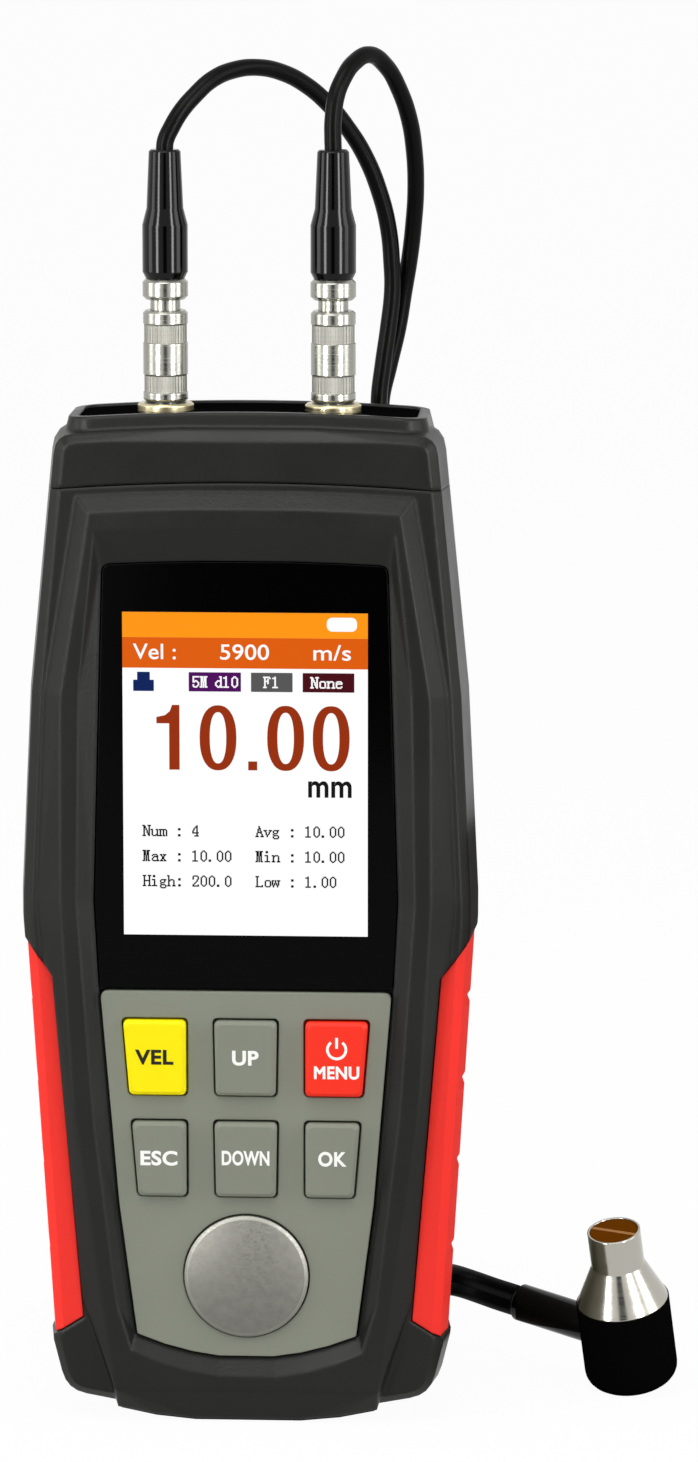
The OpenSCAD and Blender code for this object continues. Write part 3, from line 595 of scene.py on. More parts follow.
class GAUGE_OT_housing(bpy.types.Operator):
    """Finish the shells, the cap, the grips and the battery door"""

    bl_idname = "gauge.housing"
    bl_label = "Housing"

    def execute(self, context):
        for node in ("front_shell", "rear_shell", "top_cap", "battery_door"):
            paint(node, "housing")
        for node in ("left_grip", "right_grip"):
            paint(node, "grip")
        paint("connector_plate", "plate")
        return {"FINISHED"}


# Screen layout in millimetres from its upper left corner. Fields: ink, left, right, top and bottom,
# rounding of the corners. Texts: ink, words, box, bolder by
SCREEN_FIELDS = (
    ("white", (0, SCREEN_W, 0, SCREEN_H), 0),
    ("header", (0, SCREEN_W, 0, 3.8), 0),
    ("strip", (0, SCREEN_W, 3.8, 8.4), 0),
    ("white", (30.5, 35.0, 0.65, 2.75), 0.8),
    ("navy", (1.6, 4.7, 10.2, 11.9), 0.1),
    ("navy", (2.2, 4.1, 9.0, 10.5), 0.1),
    ("purple", (9.9, 17.7, 9.0, 11.9), 0.1),
    ("slate", (19.2, 25.4, 9.0, 11.9), 0.1),
    ("maroon", (26.9, 34.6, 9.0, 11.9), 0.1),
)
SCREEN_TEXTS = (
    ("white", "Vel :", (1.6, 8.0, 4.75, 7.1), 0.008),
    ("white", "5900", (14.6, 21.9, 4.75, 7.1), 0.008),
    ("white", "m/s", (28.5, 34.1, 4.75, 7.1), 0.008),
    ("black", "mm", (27.7, 34.2, 25.3, 27.8), 0.022),
)
# Small lettering in the display's own pixels: ink, text, left edge and top of its cells
PIXEL_TEXTS = (
    ("white", "5M", 68, 60),
    ("white", "d10", 90, 60),
    ("white", "F1", 138, 60),
    ("white", "None", 184, 60),
    ("black", "Num : 4", 19, 208),
    ("black", "Max : 10.00", 19, 233),
    ("black", "High: 200.0", 19, 258),
    ("black", "Avg : 10.00", 130, 208),
    ("black", "Min : 10.00", 130, 233),
    ("black", "Low : 1.00", 130, 258),
)
PIXELS_ACROSS = 240
PIXEL = SCREEN_W / PIXELS_ACROSS
PIXEL_SPREAD = (0.3, 0.22)
CELL_W = 8
CELL_TOP = 3
# Rows of dots of each letter from its top, with how often a row comes where it repeats
PIXEL_LETTERS = {
    " ": "",
    ".": "9*. 2*.##",
    ":": "3*. 2*...## 4*. 2*...##",
    "0": "...## ..#..# 7*.#....# ..#..# ...##",
    "1": "...# .### 8*...# .#####",
    "2": "..#### 3*.#....# 2*.....# ....# ...# ..# .#....# .######",
    "4": ".....# ....## ...#.# 2*..#..# 2*.#...# .###### 2*.....# ...####",
    "5": ".###### 3*.# .#.## .##..# 2*......# .#....# .#...# ..###",
    "A": "2*...# ...## 2*..#.# ..#..# ..#### .#...# 2*.#....# ###..###",
    "F": "###### .#....# 2*.#..# .#### 2*.#..# 3*.# ###",
    "H": "###..### 4*.#....# .###### 4*.#....# ###..###",
    "L": "### 8*.# .#....# #######",
    "M": "###.### 4*.##.## 5*.#.#.# ##.#.##",
    "N": "##...### 2*.##...# 2*.#.#..# 3*.#..#.# 2*.#...## ###...#",
    "a": "4*. ..#### .#....# ...#### ..#...# 2*.#....# ..######",
    "d": ".....## 3*......# ...#### ..#...# 3*.#....# ..#..## ...##.##",
    "e": "4*. ..#### .#....# .###### 2*.# .#....# ..####",
    "g": "4*. ..##### 2*.#...# ..### .# ..#### 2*.#....# ..####",
    "h": "## 3*.# .#.### .##...# 4*.#....# ###..###",
    "i": "2*..## 2*. .### 5*...# .#####",
    "m": "4*. ####### 5*.#..#..# ###.##.#",
    "n": "4*. ##.### .##...# 4*.#....# ###..###",
    "o": "4*. ..#### 5*.#....# ..####",
    "u": "4*. ##...## 4*.#....# .#...## ..###.##",
    "v": "4*. ###..### .#....# 2*..#..# ..#.# 2*...#",
    "w": "4*. ##.#.### 2*#..#..# 2*#.#.#.# 2*.#...#",
    "x": "4*. .##.### ..#..# 3*...## ..#..# .###.##",
}
# The large reading: boxes of its noughts and its dot, and the outline of its one
READING_NOUGHTS = (
    (11.5, 17.0, 13.95, 23.8),
    (21.6, 27.1, 13.95, 23.8),
    (28.4, 33.9, 13.95, 23.8),
)
READING_STROKE = (1.52, 1.05)
READING_DOT = (18.75, 20.1, 22.4, 23.75)
READING_ONE = (
    (6.95, 23.75),
    (6.95, 16.75),
    (5.05, 16.75),
    (5.05, 15.8),
    (6.35, 15.5),
    (7.05, 14.9),
    (7.4, 13.95),
    (8.5, 13.95),
    (8.5, 23.75),
)
NOUGHT_STEPS = 40
NOUGHT_SQUARENESS = 2.3
SCREEN_INKS = {
    "white": (255, 255, 255),
    "header": (255, 150, 10),
    "strip": (222, 92, 0),
    "navy": (0, 30, 90),
    "purple": (75, 0, 90),
    "slate": (85, 85, 85),
    "maroon": (70, 0, 15),
    "digits": (150, 45, 0),
    "black": (8, 8, 8),
}
LAYER = 0.012 * MM


def nought_point(box, inset, angle):
    """A point on a nought's outline, which is a little squarer than an ellipse."""
    x0, x1, z0, z1 = box
    power = 2 / NOUGHT_SQUARENESS
    c, s = math.cos(angle), math.sin(angle)
    across = math.copysign(abs(c) ** power, c) * ((x1 - x0) / 2 - inset[0])
    up = math.copysign(abs(s) ** power, s) * ((z1 - z0) / 2 - inset[1])
    return (x0 + x1) / 2 + across, (z0 + z1) / 2 + up


def add_nought(bm, box, y, slot):
    """A nought as a flat ring of even stroke."""
    stroke = [width * MM for width in READING_STROKE]
    rings = []
    for inset in ((0, 0), stroke):
        angles = [math.tau * k / NOUGHT_STEPS for k in range(NOUGHT_STEPS)]
        points = [nought_point(box, inset, angle) for angle in angles]
        verts = [bm.verts.new((x, y, z)) for x, z in points]
        rings.append([bm.edges.new(pair) for pair in zip(verts, verts[1:] + verts[:1])])
    made = bmesh.ops.bridge_loops(bm, edges=rings[0] + rings[1])
    for face in made["faces"]:
        face.material_index = slot
    face_front(made["faces"])


def letter_rows(letter):
    """Each row of dots of a letter, from its top."""
    for code in PIXEL_LETTERS[letter].split():
        times, _, dots = code.rpartition("*")
        yield from [dots] * int(times or 1)


def pixel_runs(body, column, row):
    """Rows of lit pixels of a text, as left, right, top and bottom in millimetres."""
    wider, taller = PIXEL_SPREAD
    for place, letter in enumerate(body):
        left = column + place * CELL_W
        for top, dots in enumerate(letter_rows(letter), row + CELL_TOP):
            for run in re.finditer("#+", dots):
                yield (
                    (left + run.start() - wider) * PIXEL,
                    (left + run.end() + wider) * PIXEL,
                    (top - taller) * PIXEL,
                    (top + 1 + taller) * PIXEL,
                )


class GAUGE_OT_screen(bpy.types.Operator):
    """Finish the window and light the display behind it"""

    bl_idname = "gauge.screen"
    bl_label = "Window and Screen"

    def execute(self, context):
        sizes = context.scene.gauge_sizes
        paint("display_window", "window")
        paint("display_module", "display")
        inks = list(SCREEN_INKS)
        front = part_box("display_window")[0].y - LAYER
        bm = bmesh.new()

        def on_screen(left, right, top, bottom):
            x0 = -sizes.screen_w / 2
            return (
                x0 + left * MM,
                x0 + right * MM,
                sizes.screen_top - bottom * MM,
                sizes.screen_top - top * MM,
            )

        for i, (ink, box, rounding) in enumerate(SCREEN_FIELDS):
            add_field(
                bm, on_screen(*box), front - i * LAYER, inks.index(ink), rounding * MM
            )
        text_y = front - len(SCREEN_FIELDS) * LAYER
        for ink, body, box, bold in SCREEN_TEXTS:
            add_text(bm, body, on_screen(*box), text_y, inks.index(ink), bold)
        for ink, *placed in PIXEL_TEXTS:
            for run in pixel_runs(*placed):
                add_field(bm, on_screen(*run), text_y, inks.index(ink))
        digits = inks.index("digits")
        for box in READING_NOUGHTS:
            add_nought(bm, on_screen(*box), text_y, digits)
        add_field(bm, on_screen(*READING_DOT), text_y, digits)
        corners = [on_screen(x, x, z, z) for x, z in READING_ONE]
        one = bm.faces.new([bm.verts.new((box[0], text_y, box[2])) for box in corners])
        one.material_index = digits
        face_front([one])
        materials = [
            lit("Lit " + ink.title(), screen_colour(*shown))
            for ink, shown in SCREEN_INKS.items()
        ]
        add_piece("screen", bm, materials, slot="display_face")
        return {"FINISHED"}


# Legend of each key: text, its width and height, its height above the key's middle, print
KEY_LEGENDS = {
    "key_velocity": ("VEL", 5.8, 2.3, 0.15, "legend_dark"),
    "key_up": ("UP", 4.0, 2.3, 0.15, "legend_light"),
    "key_menu": ("MENU", 6.8, 2.0, -1.95, "legend_light"),
    "key_escape": ("ESC", 5.6, 2.3, 0.2, "legend_light"),
    "key_down": ("DOWN", 7.2, 2.3, 0.35, "legend_light"),
    "key_ok": ("OK", 4.3, 2.3, 0.35, "legend_light"),
}
KEY_FINISHES = {"key_velocity": "key_yellow", "key_menu": "key_red"}
LEGEND_LIFT = 0.02 * MM
LEGEND_BOLD = 0.034
POWER_RISE = 1.6 * MM
POWER_R = 1.6 * MM
POWER_LINE = 0.42 * MM
POWER_GAP = math.radians(38)
POWER_STEPS = 24
# Ends of the mark's upright stroke, as shares of the ring's radius
POWER_STROKE = (0.1, 1.15)


def add_power_mark(bm, x, y, z):
    """The usual power mark, an open ring and an upright stroke, in a bmesh that is still empty."""
    arc = [bm.verts.new((0, 0, r)) for r in (POWER_R - POWER_LINE, POWER_R)]
    start = bm.edges.new(arc)
    turn = Matrix.Rotation(POWER_GAP, 4, "Y")
    bmesh.ops.transform(bm, matrix=turn, verts=arc)
    bmesh.ops.spin(
        bm,
        geom=arc + [start],
        cent=(0, 0, 0),
        axis=(0, 1, 0),
        angle=math.tau - 2 * POWER_GAP,
        steps=POWER_STEPS,
    )
    bmesh.ops.translate(bm, vec=(x, y, z), verts=bm.verts)
    half = POWER_LINE / 2
    bottom, top = (z + share * POWER_R for share in POWER_STROKE)
    add_field(bm, (x - half, x + half, bottom, top), y, 0)
    face_front(bm.faces)


class GAUGE_OT_keypad(bpy.types.Operator):
    """Finish the keypad panel and the keys and print the keys' legends"""

    bl_idname = "gauge.keypad"
    bl_label = "Keypad"

    def execute(self, context):
        paint("keypad_panel", "panel")
        round_edges("keypad_panel", context.scene.gauge_sizes.panel_edge)
        for key, (body, width, height, rise, print_name) in KEY_LEGENDS.items():
            paint(key, KEY_FINISHES.get(key, "key_grey"))
            round_edges(key, context.scene.gauge_sizes.key_edge)
            low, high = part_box(key)
            x = (low.x + high.x) / 2
            z = (low.z + high.z) / 2
            y = low.y - LEGEND_LIFT
            bm = bmesh.new()
            if key == "key_menu":
                add_power_mark(bm, x, y, z + POWER_RISE)
            half_w = width / 2 * MM
            bottom = z + (rise - height / 2) * MM
            box = (x - half_w, x + half_w, bottom, bottom + height * MM)
            add_text(bm, body, box, y, 0, LEGEND_BOLD)
            add_piece(key + "_legend", bm, [finish(print_name)], body=key)
        return {"FINISHED"}


DISC_STEPS = 96
# The disc's rim: how far its outer slope drops and where it ends, as shares of the chamfer
RIM_DROP, RIM_REACH = 0.35, 1.6
# How upright the faces of the rim are, between the side and the front
RIM_TILT = (0.1, 0.9)


class GAUGE_OT_test_disc(bpy.types.Operator):
    """Turn the steel test disc, its chamfer in a lighter metal: a painted highlight over the lamps'
    own gleam
    """

    bl_idname = "gauge.test_disc"
    bl_label = "Test Disc"

    def execute(self, context):
        chamfer = context.scene.gauge_sizes.disc_chamfer
        low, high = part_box("test_disc")
        r = (high.x - low.x) / 2
        depth = high.y - low.y
        profile = [
            (0, 0),
            (r, 0),
            (r, depth - chamfer),
            (r - chamfer, depth - RIM_DROP * chamfer),
            (r - RIM_REACH * chamfer, depth),
            (0, depth),
        ]

        # The chamfer's faces take the lighter knurled metal: a painted highlight, on top of the
        # lamps' real reflection there
        def rim_painted_highlight(bm):
            for face in bm.faces:
                if RIM_TILT[0] < face.normal.z < RIM_TILT[1]:
                    face.material_index = 1

        facing = Matrix.Rotation(math.radians(90), 4, "X")
        middle = Vector(((low.x + high.x) / 2, high.y, (low.z + high.z) / 2))
        turned(
            "steel_disc",
            Matrix.Translation(middle) @ facing,
            profile,
            DISC_STEPS,
            ["disc", "knurl"],
            shape=rim_painted_highlight,
            slot="test_steel",
            replaces=["test_disc"],
        )
        return {"FINISHED"}


# Bands of a plug's sleeve from below, in millimetres: height, set-back, knurled
SLEEVE_BANDS = (
    (1.4, 0, False),
    (2.7, 0.16, True),
    (4.7, 0, False),
    (2.9, 0.16, True),
    (2.0, 0, False),
)
SLEEVE_CHAMFER = 0.4
SLEEVE_PLAY = 0.1
SLEEVE_SKIN = 0.5
GROOVE_SLOPE = 0.1
SLEEVE_STEPS = 72
KNURL_DEPTH = 0.14


def sleeve_profile(low, high, bore):
    """Outline of a plug's sleeve, with the bands where it is knurled."""
    r = (high.x - low.x) / 2 / MM
    z = low.z / MM
    points = [(bore, z), (r - SLEEVE_CHAMFER, z), (r, z + SLEEVE_CHAMFER)]
    knurls = []
    for height, back, knurled in SLEEVE_BANDS:
        top = z + height
        if knurled:
            low_edge, high_edge = z + GROOVE_SLOPE, top - GROOVE_SLOPE
            points += [(r, z), (r - back, low_edge), (r - back, high_edge), (r, top)]
            knurls.append((z + GROOVE_SLOPE / 2, top - GROOVE_SLOPE / 2))
        z = top
    top = high.z / MM
    points += [(r, top - SLEEVE_CHAMFER), (r - SLEEVE_CHAMFER, top), (bore, top)]
    points.append(points[0])
    return [(a * MM, b * MM) for a, b in points], knurls, r


class GAUGE_OT_plugs(bpy.types.Operator):
    """Finish the sockets and plugs and knurl the sleeves"""

    bl_idname = "gauge.plugs"
    bl_label = "Plugs"

    def execute(self, context):
        for side in SIDES:
            for part, name in (
                ("socket", "steel"),
                ("socket_nut", "ring"),
                ("plug_core", "chrome"),
                ("plug_nut", "chrome"),
                ("boot", "boot"),
            ):
                paint(f"{side}_{part}", name)
            sleeve = f"{side}_plug_sleeve"
            low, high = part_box(sleeve)
            core_low, core_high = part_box(f"{side}_plug_core")
            bore = (core_high.x - core_low.x) / 2 / MM + SLEEVE_PLAY
            profile, knurls, r = sleeve_profile(low, high, bore)

            def knurl(bm, knurls=knurls, r=r):
                for v in bm.verts:
                    z = v.co.z / MM
                    column = round(math.atan2(v.co.y, v.co.x) / math.tau * SLEEVE_STEPS)
                    outer = v.co.xy.length / MM > r - SLEEVE_SKIN
                    if outer and column % 2 and any(a < z < b for a, b in knurls):
                        shrink = 1 - KNURL_DEPTH / r
                        v.co.x *= shrink
                        v.co.y *= shrink
                for face in bm.faces:
                    z = face.calc_center_median().z / MM
                    outer = face.calc_center_median().xy.length / MM > r - SLEEVE_SKIN
                    if outer and any(a < z < b for a, b in knurls):
                        face.material_index = 1

            middle = Vector(((low.x + high.x) / 2, (low.y + high.y) / 2, 0))
            turned(
                f"{side}_knurled_sleeve",
                Matrix.Translation(middle),
                profile,
                SLEEVE_STEPS,
                ["chrome", "knurl"],
                shape=knurl,
                body=f"{side}_sleeve",
                slot="plug_chrome",
                replaces=[sleeve],
            )
        return {"FINISHED"}


# Routes of the leads in millimetres, as the solids have them, but for the tail, which leaves the
# coil's outer turn and bends gently to the probe. The arches rise from the boots
MERGE_Z = 145
LEFT_ARCH = (
    (-12.55, 0, 0.15),
    (-12.4, 0.1, 1.3),
    (-11.6, 0.5, 3.1),
    (-10.2, 1.3, 5.5),
    (-8.3, 2.6, 7.75),
    (-5.7, 4.6, 10.1),
    (-2.7, 7, 11.35),
    (0.7, 9.6, 11.6),
    (4.1, 12.2, 10.75),
    (7.5, 14.8, 8.8),
    (10.85, 17.2, 5.7),
    (13.5, 19, 2.25),
    (16.2, 20.8, -2.3),
    (18.4, 22.3, -8),
    (19.7, 23.3, -13.55),
    (20.2, 23.8, -19),
    (20.3, 24, -22.9),
    (19.7, 23.8, -28.7),
    (18.9, 23.4, -34.4),
    (18.3, 23.2, -39.7),
)
RIGHT_ARCH = (
    (12.55, 0, 0.15),
    (12.5, 0.1, 1.5),
    (12.5, 0.6, 4.4),
    (12.95, 1.6, 7.9),
    (13.9, 3, 10.4),
    (15.3, 5.4, 12.5),
    (17.5, 8.6, 13.6),
    (19.8, 12, 11.75),
    (21.65, 15, 8.15),
    (23.05, 17.8, 3.6),
    (23.7, 20.2, -1),
    (23.9, 22.6, -7.25),
    (23.45, 24.6, -13.4),
    (22.8, 25.8, -18.6),
    (22, 26.5, -23.3),
    (21.05, 26.6, -29.1),
    (19.7, 26.3, -34.9),
    (18.55, 26, -40.2),
)
ARCHES = {
    "left": (LEFT_ARCH, (18.5, 23.2, MERGE_Z)),
    "right": (RIGHT_ARCH, (18.5, 25.9, MERGE_Z)),
}
DROP_ROUTE = (
    (18.5, 24.6, 144.9),
    (18.6, 25.2, 134),
    (18.8, 25.7, 122),
    (19, 26, 110),
    (19.1, 26, 98),
    (19.1, 26, 86),
    (19, 26, 74),
    (18.8, 26, 62),
    (18.2, 26, 50),
    (17, 26, 39),
    (15, 25.9, 29),
    (12.2, 25.7, 20.5),
    (9, 25.5, 14.8),
)
TAIL_ROUTE = (
    (25.7, 48.6, 7.95),
    (26, 44, 8.4),
    (26.1, 39.6, 9.4),
    (26.6, 35.3, 10.7),
    (28.2, 31.4, 11.8),
    (30.7, 28.2, 12.25),
    (33.8, 25.3, 12.05),
    (36.95, 23.04, 11.57),
    (40.23, 20.97, 11.1),
)
DROP_WIDE = Vector((0, -1, 0))
TAIL_WIDE = Vector((0, 0, 1))

# The coil: where it lies, and its keys in degrees and millimetres as it winds: how far it has
# turned, its radius, its height, and 1 where the lead lies flat or 0 where it stands on edge
COIL_AT = Vector((1, 47, 0))
COIL_START = 280
COIL_STEP = 15
COIL_INNER, COIL_MID, COIL_OUTER = 19.35, 22.0, 24.65
COIL_LOW, COIL_HIGH, COIL_TOP = 2.68, 7.95, 11.95
COIL_KEYS = (
    (0, COIL_MID, COIL_TOP, 1),
    (145, COIL_MID, COIL_TOP, 1),
    (195, COIL_MID, COIL_HIGH, 0),
    (475, COIL_MID, COIL_HIGH, 0),
    (505, COIL_INNER, COIL_HIGH, 0),
    (780, COIL_INNER, COIL_HIGH, 0),
    (835, COIL_INNER, COIL_LOW, 0),
    (1110, COIL_INNER, COIL_LOW, 0),
    (1140, COIL_MID, COIL_LOW, 0),
    (1440, COIL_MID, COIL_LOW, 0),
    (1470, COIL_OUTER, COIL_LOW, 0),
    (1745, COIL_OUTER, COIL_LOW, 0),
    (1800, COIL_OUTER, COIL_HIGH, 0),
    (2065, COIL_OUTER, COIL_HIGH, 0),
)
ROUTE_SPANS = 3
BOOT_GRIP = 0.25
STRAND_FACES = 7
STRAND_LOBE = math.radians(150)
SHEATH_SHARP = math.radians(80)


def eased(t):
    """A share from 0 to 1 that starts and ends gently."""
    return t * t * (3 - 2 * t)


def coil_points():
    """Centre and wide direction of the twin lead along the coil."""
    swept = 0
    for before, after in zip(COIL_KEYS, COIL_KEYS[1:]):
        while swept <= after[0]:
            t = eased((swept - before[0]) / (after[0] - before[0]))
            r, z, flat = (a + (b - a) * t for a, b in zip(before[1:], after[1:]))
            angle = math.radians(COIL_START - swept)
            outward = Vector((math.cos(angle), math.sin(angle), 0))
            tip = flat * math.pi / 2
            wide = outward * math.sin(tip) + Vector((0, 0, 1)) * math.cos(tip)
            yield COIL_AT + outward * r + Vector((0, 0, z)), wide
            swept += COIL_STEP


def smoothed(points):
    """Points on a smooth curve through the given ones."""
    ends = [2 * points[0] - points[1], *points, 2 * points[-1] - points[-2]]
    line = []
    for a, b, c, d in zip(ends, ends[1:], ends[2:], ends[3:]):
        for k in range(ROUTE_SPANS):
            t = k / ROUTE_SPANS
            line.append(
                (
                    2 * b
                    + (c - a) * t
                    + (2 * a - 5 * b + 4 * c - d) * t**2
                    + (3 * b - a - 3 * c + d) * t**3
                )
                / 2
            )
    line.append(points[-1].copy())
    return line


def twin_section(width, thick):
    """Outline of two round strands side by side, as shares along wide and thick."""
    r = thick / 2
    c = width / 2 - r
    step = 2 * STRAND_LOBE / (STRAND_FACES - 1)
    angles = [-STRAND_LOBE + step * k for k in range(STRAND_FACES)]
    right = [(c + r * math.cos(a), r * math.sin(a)) for a in angles]
    return right + [(-x, -y) for x, y in right]


def swept_twin(line, wides, width, thick):
    """The twin lead's sheath along a line, turned so that its wide side follows wides."""
    section = twin_section(width, thick)
    bm = bmesh.new()
    rings = []
    for i, (at, wide) in enumerate(zip(line, wides)):
        along = (line[min(i + 1, len(line) - 1)] - line[max(i - 1, 0)]).normalized()
        across = (wide - along * wide.dot(along)).normalized()
        up = along.cross(across)
        rings.append([bm.verts.new(at + across * x + up * y) for x, y in section])
    for one, two in zip(rings, rings[1:]):
        for k in range(len(section)):
            n = (k + 1) % len(section)
            bm.faces.new((one[k], one[n], two[n], two[k]))
    bm.faces.new(rings[0][::-1])
    bm.faces.new(rings[-1])
    bmesh.ops.recalc_face_normals(bm, faces=bm.faces)
    return bm


def strand(name, route, node):
    """One round strand from its plug to where the two are joined."""
    diameter = bpy.context.scene.gauge_sizes.strand_d
    points = [Vector(p) * MM for p in route]
    curve = bpy.data.curves.new(name, "CURVE")
    curve.dimensions = "3D"
    curve.bevel_depth = diameter / 2
    curve.bevel_resolution = 6
    curve.resolution_u = 8
    curve.use_fill_caps = True
    spline = curve.splines.new("BEZIER")
    spline.bezier_points.add(len(points) - 1)
    for knot, point in zip(spline.bezier_points, points):
        knot.co = point
        knot.handle_left_type = knot.handle_right_type = "AUTO"
    curve.materials.append(finish("lead"))
    cord = bpy.data.objects.new(name, curve)
    bpy.context.scene.collection.objects.link(cord)
    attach(cord, MAIN_BODY)
    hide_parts(node)
    length = sum((b - a).length for a, b in zip(points, points[1:]))
    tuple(points[0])


TIE_ANGLE = math.radians(75)
TIE_W = 3.2 * MM
TIE_SPAN = (8.9 * MM, 10.7 * MM)
TIE_ROUND = 1.4 * MM
TIE_T = 0.5 * MM


def coil_tie():
    """The strap that holds the coil."""
    bm = bmesh.new()
    bmesh.ops.create_cube(bm, size=1)
    bmesh.ops.scale(bm, vec=(TIE_SPAN[0], TIE_W, TIE_SPAN[1]), verts=bm.verts)
    ends = [f for f in bm.faces if abs(f.normal.y) > 0.5]
    bmesh.ops.delete(bm, geom=ends, context="FACES_ONLY")
    corners = [e for e in bm.edges if len(e.link_faces) == 2]
    bmesh.ops.bevel(
        bm,
        geom=corners,
        offset=TIE_ROUND,
        affect="EDGES",
        segments=5,
        profile=0.5,
        material=-1,
    )
    bmesh.ops.solidify(bm, geom=bm.faces, thickness=TIE_T)
    outward = Vector((math.cos(TIE_ANGLE), math.sin(TIE_ANGLE), 0))
    at = (COIL_AT + outward * COIL_MID) * MM + Vector((0, 0, TIE_SPAN[1] / 2))
    place = Matrix.Translation(at) @ Matrix.Rotation(TIE_ANGLE, 4, "Z")
    bmesh.ops.transform(bm, matrix=place, verts=bm.verts)
    bmesh.ops.recalc_face_normals(bm, faces=bm.faces)
    smooth_faces(bm)
    return add_piece("coil_tie", bm, [finish("boot")], slot="boot_black")


PROBE_FINISHES = {
    "probe_boot": "boot",
    "probe_body": "plate",
    "probe_shell": "satin",
    "probe_faces": "face",
    "probe_barrier": "barrier",
}


class GAUGE_OT_leads(bpy.types.Operator):
    """Run the two strands and the twin lead to the probe, with the spare length coiled"""

    bl_idname = "gauge.leads"
    bl_label = "Leads"

    def execute(self, context):
        sizes = context.scene.gauge_sizes
        for side, (arch, end) in ARCHES.items():
            boot_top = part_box(f"{side}_boot")[1].z / MM
            start = (*arch[0][:2], boot_top - BOOT_GRIP)
            route = [start] + [(x, y, z + boot_top) for x, y, z in arch] + [end]
            strand(f"{side}_strand", route, f"{side}_lead")
        coil = list(coil_points())
        drop = [Vector(p) for p in DROP_ROUTE]
        tail = [Vector(p) for p in TAIL_ROUTE]
        points = drop + [p for p, _ in coil] + tail
        wides = [DROP_WIDE] * len(drop) + [w for _, w in coil] + [TAIL_WIDE] * len(tail)
        line = [p * MM for p in smoothed(points)]
        bm = swept_twin(line, smoothed(wides), sizes.twin_w, sizes.strand_d)
        smooth_faces(bm, SHEATH_SHARP)
        twin = add_piece(
            "twin_cord",
            bm,
            [finish("lead")],
            slot="lead_black",
            replaces=["twin_lead", "lead_coil", "twin_tail"],
        )
        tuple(line[0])
        sum((b - a).length for a, b in zip(line, line[1:]))
        [coil_tie()] + [NODES[n] for n in PROBE_FINISHES]
        return {"FINISHED"}


class GAUGE_OT_probe(bpy.types.Operator):
    """Finish the probe"""

    bl_idname = "gauge.probe"
    bl_label = "Probe"

    def execute(self, context):
        for node, name in PROBE_FINISHES.items():
            paint(node, name)
        return {"FINISHED"}


class GAUGE_OT_insides(bpy.types.Operator):
    """Finish what the housing holds: board, domes, cells, contacts and screws"""

    bl_idname = "gauge.insides"
    bl_label = "Insides"

    def execute(self, context):
        for node, name in (
            ("main_board", "board"),
            ("dome_sheet", "film"),
            ("battery_contacts", "brass"),
            ("case_screws", "steel"),
            ("board_screws", "steel"),
        ):
            paint(node, name)
        for node in NODES:
            if node.startswith("battery_") and node[-1].isdigit():
                paint(node, "cell")
        return {"FINISHED"}


FLOOR_HALF = 6
FLOOR_SHOWN = 0.96
FLOOR_PALE = (0.86, 0.86, 0.86, 1)
# Lamps in metres: where each stands, the height that it faces, its size and its power's setting
LAMPS = {
    "top_lamp": ((-0.12, -0.45, 1.0), 0.1, (0.6, 0.6), "top_light"),
    "left_strip": ((-0.39, -0.52, 0.3), 0.3, (0.12, 0.6), "strip_light"),
    "right_strip": ((0.44, -0.48, 0.3), 0.3, (0.12, 0.6), "strip_light"),
    "left_side": ((-0.75, -0.2, 0.35), 0.1, (0.3, 0.6), "side_light"),
    "right_side": ((0.75, -0.2, 0.35), 0.1, (0.3, 0.6), "side_light"),
}


def seen_plainly(nodes, links):
    """1 for rays that show the background as it is: straight, mirrored or through glass."""
    path = nodes.new("ShaderNodeLightPath")
    total = path.outputs["Is Camera Ray"]
    for name in ("Is Glossy Ray", "Is Transmission Ray"):
        add = nodes.new("ShaderNodeMath")
        add.operation = "MAXIMUM"
        links.new(total, add.inputs[0])
        links.new(path.outputs[name], add.inputs[1])
        total = add.outputs["Value"]
    return total


def floor_finish():
    """Pale floor that shows white and keeps a soft shadow."""
    material = bpy.data.materials.new("Pale Floor")
    material.use_nodes = True
    nodes, links = material.node_tree.nodes, material.node_tree.links
    nodes.remove(nodes["Principled BSDF"])
    matte = nodes.new("ShaderNodeBsdfDiffuse")
    matte.inputs["Color"].default_value = FLOOR_PALE
    white = nodes.new("ShaderNodeEmission")
    white.inputs["Strength"].default_value = 1
    share = nodes.new("ShaderNodeMath")
    share.operation = "MULTIPLY"
    share.inputs[1].default_value = FLOOR_SHOWN
    links.new(seen_plainly(nodes, links), share.inputs[0])
    mix = nodes.new("ShaderNodeMixShader")
    links.new(share.outputs["Value"], mix.inputs["Fac"])
    links.new(matte.outputs["BSDF"], mix.inputs[1])
    links.new(white.outputs["Emission"], mix.inputs[2])
    links.new(mix.outputs["Shader"], nodes["Material Output"].inputs["Surface"])
    return material


def make_sky(strength):
    """Even light all round, shown as white."""
    world = bpy.data.worlds.new("Studio")
    world.use_nodes = True
    nodes, links = world.node_tree.nodes, world.node_tree.links
    back = nodes["Background"]
    back.inputs["Color"].default_value = (1, 1, 1, 1)
    level = nodes.new("ShaderNodeMapRange")
    level.inputs["To Min"].default_value = strength
    level.inputs["To Max"].default_value = 1
    links.new(seen_plainly(nodes, links), level.inputs["Value"])
    links.new(level.outputs["Result"], back.inputs["Strength"])
    bpy.context.scene.world = world


# Cards that only gloss and metal show, as painted reflections: where each stands, which way it
# faces, its size and the colour painted into the reflections
PAINTED_REFLECTIONS = {
    # A black card in front of the gauge: a painted dark reflection on glossy faces that look
    # forward
    "camera_card": ((0.03, -0.6, 0.1), 0, (0.2, 0.5), (8, 8, 8)),
    # A khaki card beside the probe: a painted reflection on the metal of its cone, which also hides
    # the grip beyond it
    "probe_card": ((0.04, 0.0175, 0.045), 90, (0.055, 0.09), (104, 100, 84)),
}


